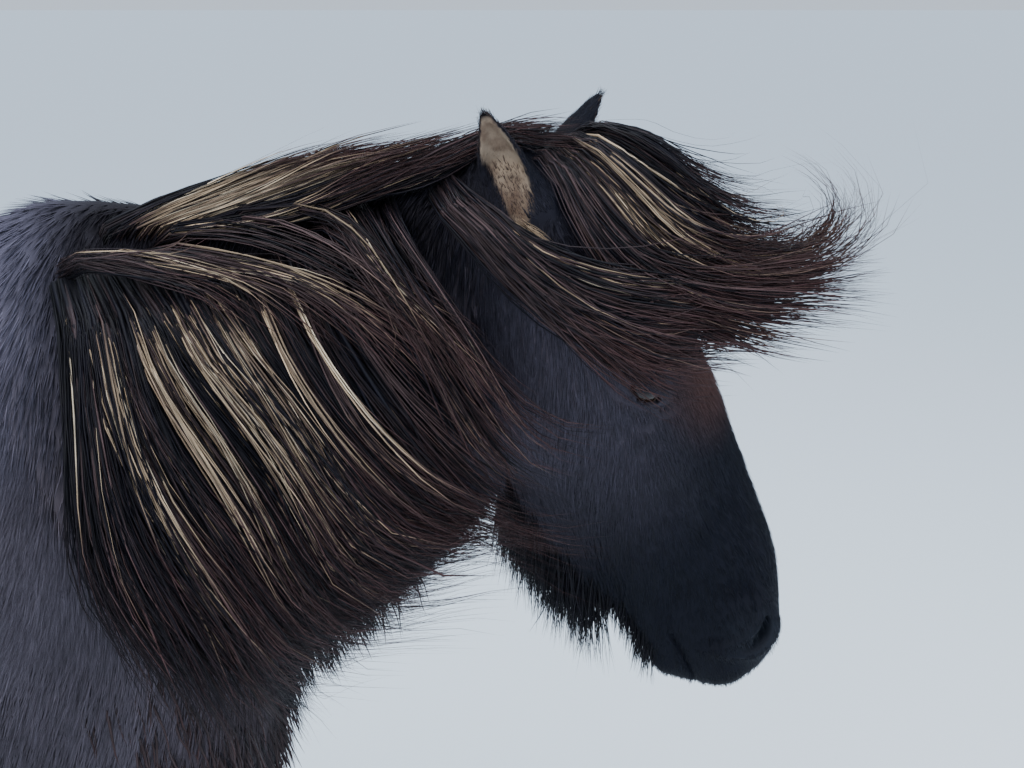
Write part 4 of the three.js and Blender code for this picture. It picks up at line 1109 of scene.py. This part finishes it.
# A clump of locks around one line: they start apart, come together and stray at the tip
def clump(line, facing, count, look):
    rings = look["rings"]
    reach = dice.uniform(*look["reach"], count)
    t = np.linspace(0, 1, rings)[None] * reach[:, None]
    marks = np.linspace(0, 1, len(line))
    at = lambda row: np.stack([np.interp(t, marks, row[:, i]) for i in range(3)], -1)
    slope = unit(np.gradient(line, axis=0))
    out = unit(facing - slope * (facing * slope).sum(1)[:, None])
    side = np.cross(out, slope)
    out, side, centre = unit(at(out)), unit(at(side)), at(line)
    own = t / reach[:, None]
    spread = np.interp(own, [0, 0.35, 0.75, 1], np.array(look["spread"]) * mm)
    turn = dice.uniform(0, 2 * math.pi, count)[:, None] + look["twist"] * own
    radius = np.sqrt(dice.random(count))[:, None] * spread
    stray = dice.normal(0, look["stray"] * mm, (count, 2))
    wild = dice.random(count) < look["wild"]
    stray[wild] *= 2.2
    turns = own * dice.uniform(0.5, 1.3, count)[:, None] + dice.random(count)[:, None]
    sway = look["sway"] * mm * np.sin(2 * math.pi * turns) * own
    aside = radius * np.cos(turn) + stray[:, :1] * own**2 + sway
    above = look["flat"] * (radius * np.sin(turn) + spread) + np.abs(stray[:, 1:]) * own**2
    lines = centre + side * aside[..., None] + out * above[..., None]
    run = unit(np.gradient(lines, axis=1))
    face = unit(out + side * dice.normal(0, 0.35, count)[:, None, None])
    face = unit(face - run * (face * run).sum(-1, keepdims=True))
    taper = (0.65 + 0.35 * ease(own, 0, 0.2)) * np.maximum(0.12, (1 - own**2.4) ** 0.8)
    half = look["half"] * mm * dice.uniform(0.6, 1.3, count)[:, None] * taper
    half[wild] *= 0.5
    half[:, -1] = 0
    return lines, np.cross(face, run), face, half


def gather(name, batches, shades, tones, material):
    lines, side, face, half = (np.concatenate([b[i] for b in batches]) for i in range(4))
    hairPiece(name, lines, side, face, half, half * 0.4, rootMap(lines[:, 0]), np.concatenate(shades),
              np.concatenate(tones), material)


# Mane: rows of lies in mm of the side view, each from its root to its tip. The falls hang under the rest
# from the withers forward, the ear falls start behind the ear and cross the cheek, the sweeps lie over
# both, and the bands run forward over the crest like a rope.
falls = [
    [(274, 1344), (287, 1303), (297, 1250), (306, 1189), (318, 1122), (344, 1050), (381, 977)],
    [(284, 1346), (303, 1294), (322, 1235), (347, 1161), (382, 1074), (419, 970), (447, 903)],
    [(302, 1345), (329, 1289), (357, 1227), (393, 1149), (434, 1058), (477, 1004), (548, 999)],
    [(329, 1345), (364, 1287), (406, 1225), (450, 1150), (493, 1073), (542, 1033), (602, 1041)],
    [(367, 1344), (405, 1290), (448, 1230), (493, 1163), (543, 1102), (598, 1080), (657, 1090)],
    [(411, 1350), (446, 1298), (487, 1237), (528, 1180), (573, 1125), (621, 1101), (681, 1089)],
    [(455, 1363), (484, 1310), (516, 1255), (551, 1199), (592, 1153), (639, 1125), (694, 1117)],
    [(494, 1383), (519, 1329), (547, 1276), (578, 1224), (610, 1184), (648, 1155), (698, 1148)],
    [(529, 1400), (554, 1358), (580, 1311), (609, 1266), (644, 1232), (685, 1203), (738, 1184)],
]
# Wisps: the falls' rows, each with one more place where the wind lifts its tip
wisps = [row + [(2.1 * row[-1][0] - 1.1 * row[-2][0], row[-1][1] + 0.2 * (row[-1][1] - row[-2][1]))]
         for row in falls[1:7]]
earFalls = [
    [(566, 1407), (600, 1378), (638, 1336), (682, 1292), (736, 1260), (800, 1236)],
    [(580, 1411), (616, 1388), (660, 1344), (708, 1303), (764, 1270), (826, 1242)],
    [(585, 1411), (620, 1396), (657, 1364), (712, 1325), (790, 1293), (890, 1278)],
    [(591, 1410), (630, 1390), (667, 1364), (730, 1338), (806, 1318), (929, 1311)],
]
sweeps = [
    [(272, 1356), (301, 1356), (334, 1354), (362, 1352), (390, 1350), (417, 1346)],
    [(272, 1354), (308, 1350), (342, 1340), (378, 1326), (416, 1307), (458, 1288)],
    [(351, 1354), (408, 1346), (466, 1332), (518, 1308), (561, 1274), (600, 1227)],
    [(308, 1361), (377, 1359), (452, 1346), (510, 1327), (563, 1296), (613, 1248)],
    [(463, 1386), (506, 1386), (539, 1364), (567, 1330), (600, 1286), (644, 1239)],
    [(483, 1393), (504, 1368), (529, 1333), (560, 1298), (593, 1271), (622, 1242)],
    [(533, 1397), (577, 1348), (613, 1290), (653, 1236), (694, 1200), (740, 1185)],
]
bands = [  # x, y, z
    [(269, -56, 1359), (292, -32, 1374), (327, -20, 1392), (373, -14, 1404), (428, -12, 1414),
     (480, -10, 1424)],
    [(317, -34, 1374), (356, -34, 1388), (403, -32, 1404), (454, -28, 1420), (500, -24, 1431),
     (551, -20, 1440)],
    [(371, -40, 1374), (420, -34, 1389), (474, -30, 1408), (540, -28, 1436), (590, -26, 1449),
     (640, -26, 1458)],
    [(326, -48, 1371), (385, -48, 1375), (434, -46, 1384), (478, -42, 1397), (523, -40, 1413),
     (577, -40, 1430)],
    [(514, -34, 1400), (559, -34, 1413), (604, -36, 1424), (648, -44, 1446), (690, -48, 1456),
     (734, -50, 1454)],
    [(500, -12, 1402), (538, -14, 1420), (575, -16, 1438), (615, -18, 1452), (654, -18, 1461),
     (698, -18, 1464)],
]
forelocks = [
    [(706, -8, 1462), (742, -8, 1458), (782, -10, 1444), (823, -10, 1415), (861, -12, 1384),
     (907, -12, 1362)],
    [(692, -14, 1462), (732, -24, 1453), (770, -30, 1427), (808, -32, 1389), (854, -32, 1358),
     (926, -30, 1350)],
    [(681, -20, 1461), (719, -34, 1449), (756, -46, 1415), (794, -52, 1373), (850, -50, 1346),
     (954, -46, 1346)],
    [(670, -28, 1460), (708, -40, 1441), (745, -56, 1402), (783, -62, 1360), (851, -60, 1333),
     (983, -56, 1337)],
    [(661, -34, 1458), (698, -44, 1434), (731, -60, 1394), (770, -70, 1350), (845, -68, 1322),
     (990, -64, 1321)],
    [(653, -40, 1455), (688, -50, 1433), (719, -66, 1393), (755, -76, 1346), (824, -76, 1311),
     (963, -72, 1299)],
    [(650, -46, 1451), (679, -60, 1428), (706, -76, 1389), (742, -86, 1342), (808, -84, 1302),
     (902, -80, 1280)],
]
curls = [
    [(735, -14, 1452), (790, -22, 1408), (840, -30, 1358), (890, -34, 1336), (930, -34, 1356),
     (938, -34, 1388), (918, -34, 1418), (878, -34, 1436)],
    [(742, -14, 1446), (798, -26, 1396), (850, -34, 1346), (905, -38, 1332), (945, -38, 1350),
     (956, -38, 1380), (944, -38, 1408), (922, -38, 1428)],
    [(745, -20, 1430), (802, -32, 1376), (860, -42, 1334), (918, -44, 1328), (960, -42, 1346),
     (984, -40, 1368), (1000, -40, 1388), (1020, -40, 1398)],
]
strandLook = {  # how the strands of one clump lie, where a piece doesn't say otherwise
    "rings": 10, "half": 1.05, "spread": (9, 10, 7, 5), "stray": 12, "sway": 3, "reach": (0.74, 1.0),
    "flat": 0.4, "wild": 0.05, "twist": 0.8, "gold": (0.0,), "paleStrands": 0.6, "paleTone": (0.46, 0.94),
    "wander": 11, "lean": 1.0, "dusk": 1.0, "thins": (1.0, 1.0), "sink": 0,
}
maneLook = {  # "gold" gives each row's share of pale clumps, "thins" from where on which share is kept
    "mane_base": {"rows": falls, "clumps": 92, "each": 12, "half": 2.4, "rings": 8, "spread": (13, 15, 13, 9),
                  "height": (3, 9), "wave": 8, "tone": (0.0, 0.10), "reach": (0.62, 0.95), "wild": 0.02,
                  "thins": (0.58, 0.20)},
    "mane_falls": {"rows": falls, "clumps": 132, "each": 31, "height": (8, 22), "wave": 12,
                   "tone": (-0.12, 0.24), "thins": (0.60, 0.20), "reach": (0.62, 1.0), "paleStrands": 0.45,
                   "lean": 1.1, "rings": 8, "half": 0.82, "dusk": 0.25,
                   "gold": (0.0, 0.0, 0.16, 0.42, 0.26, 0.28, 0.12, 0.05, 0.0)},
    "mane_streaks": {"rows": falls, "clumps": 22, "each": 9, "height": (20, 28), "wave": 12,
                     "tone": (0.2, 0.4), "gold": (0.0, 0.0, 0.5, 0.9, 0.6, 0.6, 0.4, 0.1, 0.0),
                     "spread": (4, 4, 4, 4), "half": 0.8, "paleStrands": 0.9, "reach": (0.6, 0.95),
                     "stray": 9},
    "mane_wisps": {"rows": wisps, "clumps": 34, "each": 9, "height": (6, 20), "wave": 14, "tone": (0.0, 0.3),
                   "reach": (0.82, 1.0), "half": 0.6, "spread": (5, 6, 6, 4), "stray": 16, "rings": 12},
    "mane_ear_falls": {"rows": earFalls, "clumps": 36, "each": 20, "height": (8, 18), "wave": 8,
                       "tone": (0.0, 0.30), "gold": (0.0, 0.0, 0.0, 0.10), "spread": (6, 8, 8, 6),
                       "stray": 13, "lean": 0.6},
    "mane_sweeps": {"rows": sweeps, "clumps": 26, "each": 10, "height": (18, 25), "wave": 8,
                    "tone": (0.12, 0.40), "gold": (0.0, 0.45, 0.4, 0.05, 0.1, 0.28, 0.0), "half": 0.7,
                    "spread": (10, 6, 4, 4)},
    "mane_crest": {"rows": bands, "clumps": 78, "each": 18, "height": (0, 3), "wave": 4, "wander": 4,
                   "wild": 0.02, "gold": (0.0, 1.0, 0.55, 0.25, 0.03, 0.0), "tone": (0.0, 0.20), "half": 1.15,
                   "stray": 6, "spread": (5, 8, 7, 4), "twist": 2.0, "reach": (0.7, 1.0), "paleStrands": 0.85,
                   "flat": 0.25, "sink": 4},
    "forelock": {"rows": forelocks, "clumps": 88, "each": 21, "height": (0, 7), "wave": 8,
                 "gold": (0.0, 0.12, 0.5, 0.5, 0.12, 0.0, 0.0), "tone": (0.0, 0.33),
                 "spread": (7, 10, 10, 8), "stray": 15, "sway": 5, "reach": (0.64, 1.0), "rings": 12,
                 "curl": 12, "flat": 0.25, "wild": 0.08, "sink": 6},
    "forelock_curls": {"rows": curls, "clumps": 13, "each": 14, "height": (0, 6), "wave": 4,
                       "gold": (0.1, 0.1, 0.1), "tone": (0.16, 0.46), "spread": (6, 8, 8, 9), "stray": 14,
                       "sway": 4, "reach": (0.72, 1.0), "rings": 14, "flat": 0.3, "wild": 0.10, "half": 0.85,
                       "lean": 1.8},
}
farMane = {**maneLook["mane_base"], "clumps": 60, "each": 11, "half": 2.0, "reach": (0.28, 0.5),
           "tone": (0.0, 0.3)}


def lieAtShare(rows, share):
    place = min(share * (len(rows) - 1), len(rows) - 1.001)
    first = int(place)
    part = place - first
    return np.array(rows[first], float) * (1 - part) + np.array(rows[first + 1], float) * part


# One clump's guide line and the way it faces: free over the crest and brow, or laid on the drape
def guideLine(name, look, side, share, flat, y, height, t):
    if y is None:
        return drapes[side].lay((flat + [forward, 0]) * mm, 0.004 + height * mm)
    y = y - height * 0.7
    if name == "forelock":  # it parts over both sides of the brow
        apart = dice.uniform(0, 1) ** 1.6 * (1 - share) * 150 * ease(t, 0.0, 0.5)
        y = y + apart * (dice.random() < 0.6)
    line = np.stack([flat[:, 0] + forward, y, flat[:, 1] - look["sink"]], 1) * mm
    keepOff(line, 0.005 + 0.3 * height.max() * mm, 1, 0.09)
    line[1:-1] = (line[:-2] + 2 * line[1:-1] + line[2:]) / 4
    return line, unit(line - np.stack([line[:, 0], line[:, 1] * 0, line[:, 2] - 0.09], 1))


def growMane(name, look, side=rightSide):
    look = {**strandLook, **look}
    batches, shades, tones = [], [], []
    t = np.linspace(0, 1, 24)
    own = np.linspace(0, 1, look["rings"])
    fade = np.interp(own, [0, 0.5, 1], [0.7, 0.95, 1.2])
    paleFade = np.interp(own, [0, 0.08, 0.22, 0.56, 0.78, 1], [0.35, 0.6, 1.0, 1.0, 0.66, 0.3])
    golds = look["gold"]
    thinFrom, kept = look["thins"]
    oddPale = 0.015 if len(golds) > 1 else 0.0  # a few pale strands lie in the dark clumps too
    for index in range(look["clumps"]):
        share = ((index + dice.random()) / look["clumps"]) ** look["lean"]
        if share > thinFrom and dice.random() > kept:
            continue
        lie = evenly(through(lieAtShare(look["rows"], share), 6), 24)
        flat, y = (lie[:, [0, 2]], lie[:, 1]) if lie.shape[1] == 3 else (lie, None)
        slope = unit(np.gradient(flat, axis=0))
        wave = look["wave"] * np.sin(2 * math.pi * (1.2 * t + 1.7 * share + 0.3 * dice.random())) * t**0.8
        wave = wave * dice.uniform(0.4, 1.2) + dice.normal(0, look["wander"]) * t + dice.normal(0, 3)
        if "curl" in look:
            wave += dice.uniform(0, look["curl"]) * ease(t, 0.70, 1.0) * max(0.15, 1 - share * 1.3)
        flat = flat + np.stack([-slope[:, 1], slope[:, 0]], 1) * wave[:, None]
        paleClump = dice.random() < np.interp(share, np.linspace(0, 1, len(golds)), golds)
        height = dice.uniform(*look["height"]) * ease(t, 0.0, 0.25) + 12 * ease(t, 0.6, 1.0) * dice.random()
        if paleClump and y is None:  # pale locks lie on top
            height = height + 6 * ease(t, 0.0, 0.25)
        line, facing = guideLine(name, look, side, share, flat, y, height, t)
        line -= facing * ((1 - ease(t, 0.0, 0.10)) * 0.020)[:, None]  # the roots go into the skin
        batches.append(clump(line, facing, look["each"], look))
        pale = dice.random(look["each"]) < (look["paleStrands"] if paleClump else oddPale)
        base = dice.uniform(*look["tone"]) + dice.normal(0, 0.10, look["each"])
        base = base * (look["dusk"] + (1 - look["dusk"]) * float(ease(share, 0.02, 0.34)))
        tone = np.where(pale, dice.uniform(*look["paleTone"], look["each"]), np.clip(base, 0, 0.46))
        tones.append(np.clip(tone[:, None] * np.where(pale[:, None], paleFade, fade), 0, 1))
        shades.append(np.clip(dice.normal(1.0, 0.24, look["each"]) * dice.uniform(0.75, 1.25), 0.4, 1.9))
    gather(name, batches, shades, tones, maneHair)


for name, look in maneLook.items():
    growMane(name, look)
growMane("mane_left", farMane, leftSide)
print("mane laid")


# Fringes: beard along the jaw, throat hair, breast fringe, ear hair and fetlock feather
fringeLook = {  # mm; "way" is where the ends point, "lift" how steeply the roots stand off
    "beard": {"count": 2300, "length": (58, 112), "way": (0.03, 0, -1.0), "half": 1.05, "rings": 5,
              "tone": 0.0, "lift": 0.2},
    "chin_hair": {"count": 800, "length": (24, 50), "way": (0.02, 0, -1.0), "half": 0.9, "rings": 5,
                  "tone": 0.0, "lift": 0.2},
    "throat_hair": {"count": 1300, "length": (30, 58), "way": (0.30, 0, -0.92), "half": 0.85, "rings": 5,
                    "tone": 0.0, "lift": 0.3},
    "breast_fringe": {"count": 1300, "length": (38, 70), "way": (0.16, 0, -1.0), "half": 1.8, "rings": 6,
                      "tone": 0.22, "lift": 0.3},
    "ear_hair": {"count": 600, "length": (6, 12), "half": 0.36, "rings": 4, "tone": 0.46, "lift": 0.2},
    "ear_tuft": {"count": 70, "length": (20, 38), "way": (0.80, -0.30, -0.52), "half": 0.5, "rings": 6,
                 "tone": 0.60, "lift": 0.4},
    "feather": {"count": 1300, "length": (34, 66), "way": (-0.18, 0, -1.0), "half": 1.8, "rings": 6,
                "tone": 0.05, "lift": 0.3},
    "coronet_hair": {"count": 1500, "length": (22, 38), "way": (0, 0, -1.0), "half": 1.6, "rings": 5,
                     "tone": 0.02, "lift": 0.42},
}


def growFringe(name, look, weight, material):
    count, rings = look["count"], look["rings"]
    weight = weight * surface["areas"]
    roots, normals, patch = placesOn(dice.choice(len(weight), count, p=weight / weight.sum()))
    way = unit(np.asarray(look["way"], float) + dice.normal(0, 0.10, (count, 3)) * [1, 0.6, 0.4])
    start = unit(way * (1 - look["lift"]) + normals * look["lift"])
    t = np.linspace(0, 1, rings)
    long = (dice.uniform(*look["length"], count) * mm)[:, None]
    heading = unit(start[:, None] * (1 - t[None, :, None]) ** 1.5 + way[:, None])
    step = heading * (long / (rings - 1))[..., None]
    lines = roots[:, None] + np.cumsum(np.concatenate([np.zeros((count, 1, 3)), step[:, 1:]], 1), 1)
    lines = lines - normals[:, None] * 0.003  # the roots go into the skin
    turns = t[None] * dice.uniform(0.5, 1.1, count)[:, None] + dice.random(count)[:, None]
    wave = np.sin(2 * math.pi * turns)
    run = unit(np.gradient(lines, axis=1))
    base = normals[:, None] + np.array([0, 0, 0.001])
    face = unit(base - run * (base * run).sum(-1, keepdims=True))
    side = np.cross(face, run)
    lines = lines + side * (wave * t * 0.05 * long)[..., None]
    taper = np.maximum(0.0, 1 - t**1.8)[None]
    half = look["half"] * mm * dice.uniform(0.6, 1.3, count)[:, None] * taper
    half[:, -1] = 0
    shade = np.clip(dice.normal(1.0, 0.2, count), 0.5, 1.6)
    hairPiece(name, lines, side, face, half, half * 0.5, patch, shade, np.full(count, look["tone"]),
              material)


centres = surface["centres"]
centreNormals = unit(surface["normals"][surface["corners"]].mean(1))
here = regions(centres)
jawline = here["head"] * ease(here["face"] + 60 + 0.28 * np.clip(490 - here["at"], 0, 400), 18, -6)
jawline = jawline * ease(here["at"], 150, 230) * ease(here["at"], 508, 470)
jawline = jawline * ease(centreNormals @ -faceLine, 0.1, 0.6)
throat = here["neck"] * ease(centreNormals[:, 2], -0.05, -0.5) * ease(centres[:, 2], 1.30, 1.24)
breast = ease(centres[:, 0], 0.30, 0.42) * ease(centres[:, 2], 0.70, 0.78) * ease(centres[:, 2], 1.06, 0.96)
breast = breast * ease(centreNormals[:, 0], 0.0, 0.5) * (1 - here["neck"]) * ease(centres[:, 0], 0.62, 0.56)
for name, weight, material, slot in (
        ("beard", jawline * ease(here["at"], 430, 380), beardHair, "head"),
        ("chin_hair", jawline * ease(here["at"], 380, 430), beardHair, "head"),
        ("throat_hair", throat, beardHair, "mane"),
        ("breast_fringe", breast, maneHair, "mane")):
    growFringe(name, fringeLook[name], weight, material)
inCup = cupShare(centres, centreNormals)
for ending, side in (("_right", rightSide), ("_left", leftSide)):
    _, line, opens, _ = earAxes("ear" + ending)
    look = {**fringeLook["ear_hair"], "way": unit(line) + 0.25 * opens}
    growFringe("ear_hair" + ending, look, inCup * (side * centres[:, 1] > 0), earHair)
base, line, opens, _ = earAxes("ear_right")
lowCup = np.exp(-(np.linalg.norm(centres - base - line * 0.06 - opens * 0.016, axis=1) / 0.009)**2)
growFringe("ear_tuft", fringeLook["ear_tuft"], lowCup, earHair)
print("fringes grown")


# Fetlocks: the feather behind each pastern, and the hair over the hooves' edge
def feather():
    weight = np.zeros(len(centres))
    for stations, y, step in legs.values():
        ahead, out = legPlace(y, step, 150)
        heights, _, backs, _ = np.array(stations[::-1]).T
        spot = np.array([np.interp(150, heights, backs) + ahead + forward, out, 185]) * mm
        away = np.linalg.norm((centres - spot) * [1, 1, 0.55], axis=1)
        weight += ease(away, 0.065, 0.02) * ease(-centreNormals[:, 0], -0.1, 0.6)
    growFringe("feather", fringeLook["feather"], weight, beardHair)
    coronets = ease(centres[:, 2], 0.118, 0.104)
    growFringe("coronet_hair", fringeLook["coronet_hair"], coronets, beardHair)


feather()


# Tail: from the dock down behind the hocks
tailLie = [(-960, 1172), (-1002, 1130), (-1020, 1040), (-1022, 880), (-1012, 690), (-986, 500), (-948, 345)]
tailLook = {"clumps": 84, "each": 15, "rings": 12, "half": 2.6, "spread": (12, 22, 20, 14), "stray": 26,
            "sway": 7, "flat": 0.9, "twist": 1.2, "reach": (0.7, 1.0), "wild": 0.08, "tone": (0.0, 0.30),
            "radius": (10, 30, 44, 22), "lastRoot": 0.42}


def tail():
    look = tailLook
    batches, shades, tones = [], [], []
    t = np.linspace(0, 1, 24)
    whole = evenly(through(np.array(tailLie, float), 8), 60)
    for _ in range(look["clumps"]):
        start = dice.uniform(0.0, look["lastRoot"])
        x, z = evenly(whole[int(start * 50):], 24).T
        around = dice.uniform(0, 2 * math.pi)
        radius = np.interp(t, [0, 0.2, 0.6, 1], look["radius"]) * math.sqrt(dice.random())
        y = radius * math.cos(around) + 5 * np.sin(2 * math.pi * (t + dice.random())) * t
        sway = 4 * np.sin(2 * math.pi * (1.3 * t + dice.random())) * t
        x = x - radius * 0.5 * math.sin(around) + forward + sway
        line = np.stack([x, y, z], 1) * mm
        facing = unit(np.tile([-0.6 * math.sin(around) - 0.3, math.cos(around), 0.05], (24, 1)))
        batches.append(clump(line, facing, look["each"], look))
        tone = np.clip(dice.uniform(*look["tone"]) + dice.normal(0, 0.08, look["each"]), 0, 1)
        tones.append(np.repeat(tone[:, None], look["rings"], 1))
        shades.append(np.clip(dice.normal(1.0, 0.2, look["each"]), 0.5, 1.8))
    gather("tail_hair", batches, shades, tones, tailHair)


tail()
print("tail laid")


# Eyes: a dark horse's eye with a wide pupil under a clear wet front
eyeColours = {"pupil": (0.002, 0.002, 0.003), "iris": (0.014, 0.007, 0.004), "rim": (0.05, 0.036, 0.03)}


def eyeMaterial(side):
    name = "eyeRight" if side < 0 else "eyeLeft"
    material, tree, shader = freshMaterial(name, roughness=0.09, specular=0.3)
    shader.inputs["Coat Weight"].default_value = 0.1
    shader.inputs["Coat Roughness"].default_value = 0.03
    centre = headPoint(eyeLook["at"], eyeLook["face"], side * (eyeLook["side"] + eyeLook["radius"]))
    place = addNode(tree, "ShaderNodeTexCoord").outputs["Object"]
    fromFront = addNode(tree, "ShaderNodeMapping", {"vector_type": "TEXTURE"}, Vector=place,
                        Location=tuple(centre)).outputs[0]
    away = vectorCalc(tree, "LENGTH", fromFront)["Value"]
    colour = blend(tree, stretch(tree, away, 0.0118, 0.0132), eyeColours["iris"], eyeColours["rim"])
    oval = vectorCalc(tree, "MULTIPLY", fromFront, (0.62, 1.0, 1.45))[0]  # the pupil lies across
    across = vectorCalc(tree, "LENGTH", oval)["Value"]
    colour = blend(tree, stretch(tree, across, 0.0052, 0.0066), eyeColours["pupil"], colour)
    tree.links.new(colour, shader.inputs["Base Color"])
    return material


def eye(name, side):
    pick()
    place = headPoint(eyeLook["at"], eyeLook["face"], side * eyeLook["side"])
    bpy.ops.mesh.primitive_uv_sphere_add(segments=40, ring_count=24, radius=eyeLook["radius"] * mm,
                                         location=tuple(place), rotation=(math.pi / 2, 0, 0))
    piece = bpy.context.object
    piece.name = name
    bpy.ops.object.transform_apply(location=True, rotation=True, scale=True)
    places = pointsOf(piece)
    away = (places - place) / (eyeLook["radius"] * mm)
    bulge = ease(away @ np.array([0, side, 0.0]), 0.72, 1.0)  # the clear front stands out a little
    movePoints(piece, places + np.array([0, side, 0]) * (bulge * 1.1 * mm)[:, None])
    bpy.ops.object.shade_smooth()
    piece.data.materials.append(eyeMaterial(side))
    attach(piece, "root")
    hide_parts("eye_right" if side < 0 else "eye_left")


eye("eyeball_right", rightSide)
eye("eyeball_left", leftSide)


# Hooves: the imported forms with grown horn
hornColours = {"dark": (0.008, 0.007, 0.0065), "pale": (0.026, 0.022, 0.019)}


def hoofMaterial():
    material, tree, shader = freshMaterial("hoofHorn", roughness=0.55, specular=0.2)
    place = addNode(tree, "ShaderNodeTexCoord").outputs["Object"]
    growth = noise(tree, place, (6.0, 6.0, 120.0), 3.0, (0, 0.28, 0))
    streaks = noise(tree, place, (160.0, 160.0, 9.0), 4.0)
    colour = blend(tree, stretch(tree, streaks, 0.3, 0.7), hornColours["dark"], hornColours["pale"])
    tree.links.new(colour, shader.inputs["Base Color"])
    addBump(tree, shader, growth, 0.6, 0.002)
    return material


horn = hoofMaterial()
for name in ("forehoof_right", "forehoof_left", "hindhoof_right", "hindhoof_left"):
    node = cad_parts[name]
    node.data.materials.clear()
    node.data.materials.append(horn)
print("eyes and hooves done")


# Floor, light and camera
stageLook = {"floor": (0.80, 0.88, 0.95, 1), "sky": (0.74, 0.85, 1.0, 1), "skyStrength": 0.95,
             "eye": (0.685, -1.29, 1.59), "down": 73.8, "lens": 50, "sensor": 36}
lampLook = {  # place, aim, size, power, tint
    "keyLight": ((-1.2, -3.4, 3.8), (0.3, 0, 1.1), 2.6, 190, (1, 0.97, 0.93)),
    "skyLight": ((0.8, 0.6, 4.2), (0.4, 0, 1.0), 3.2, 110, (0.90, 0.95, 1)),
    "sideLight": ((3.6, -1.4, 1.9), (0.6, 0, 1.1), 2.2, 60, (0.92, 0.96, 1)),
}
sunLook = {"power": 0.7, "spread": 120, "turn": 12, "tint": (0.86, 0.93, 1)}


def stand(name, data, turn, place=(0, 0, 0)):
    thing = bpy.data.objects.new(name, data)
    thing.location = place
    thing.rotation_euler = turn
    bpy.context.collection.objects.link(thing)
    return thing


def setStage():
    pick()
    bpy.ops.mesh.primitive_plane_add(size=160, location=(0, 0, -0.0005))
    floor = bpy.context.object
    floor.name = "floor"
    material, _, shader = freshMaterial("floorPlain", roughness=0.85)
    shader.inputs["Base Color"].default_value = stageLook["floor"]
    floor.data.materials.append(material)
    world = bpy.context.scene.world or bpy.data.worlds.new("world")
    bpy.context.scene.world = world
    world.use_nodes = True
    sky = world.node_tree.nodes["Background"]
    sky.inputs["Color"].default_value = stageLook["sky"]
    sky.inputs["Strength"].default_value = stageLook["skyStrength"]
    for name, (place, aim, size, power, tint) in lampLook.items():
        lamp = bpy.data.lights.new(name, "AREA")
        lamp.energy, lamp.size, lamp.color = power, size, tint
        stand(name, lamp, (Vector(aim) - Vector(place)).to_track_quat("-Z", "Y").to_euler(), place)
    sun = bpy.data.lights.new("highSky", "SUN")  # even light on the snow-pale floor, near and far
    sun.energy, sun.angle, sun.color = sunLook["power"], math.radians(sunLook["spread"]), sunLook["tint"]
    stand("highSky", sun, (math.radians(sunLook["turn"]), 0, 0))
    camera = bpy.data.cameras.new("camera")
    camera.lens, camera.sensor_width = stageLook["lens"], stageLook["sensor"]
    camera.clip_start, camera.clip_end = 0.05, 60
    view = stand("camera", camera, (math.radians(stageLook["down"]), 0, 0), stageLook["eye"])
    bpy.context.scene.camera = view


setStage()
print("stage set")
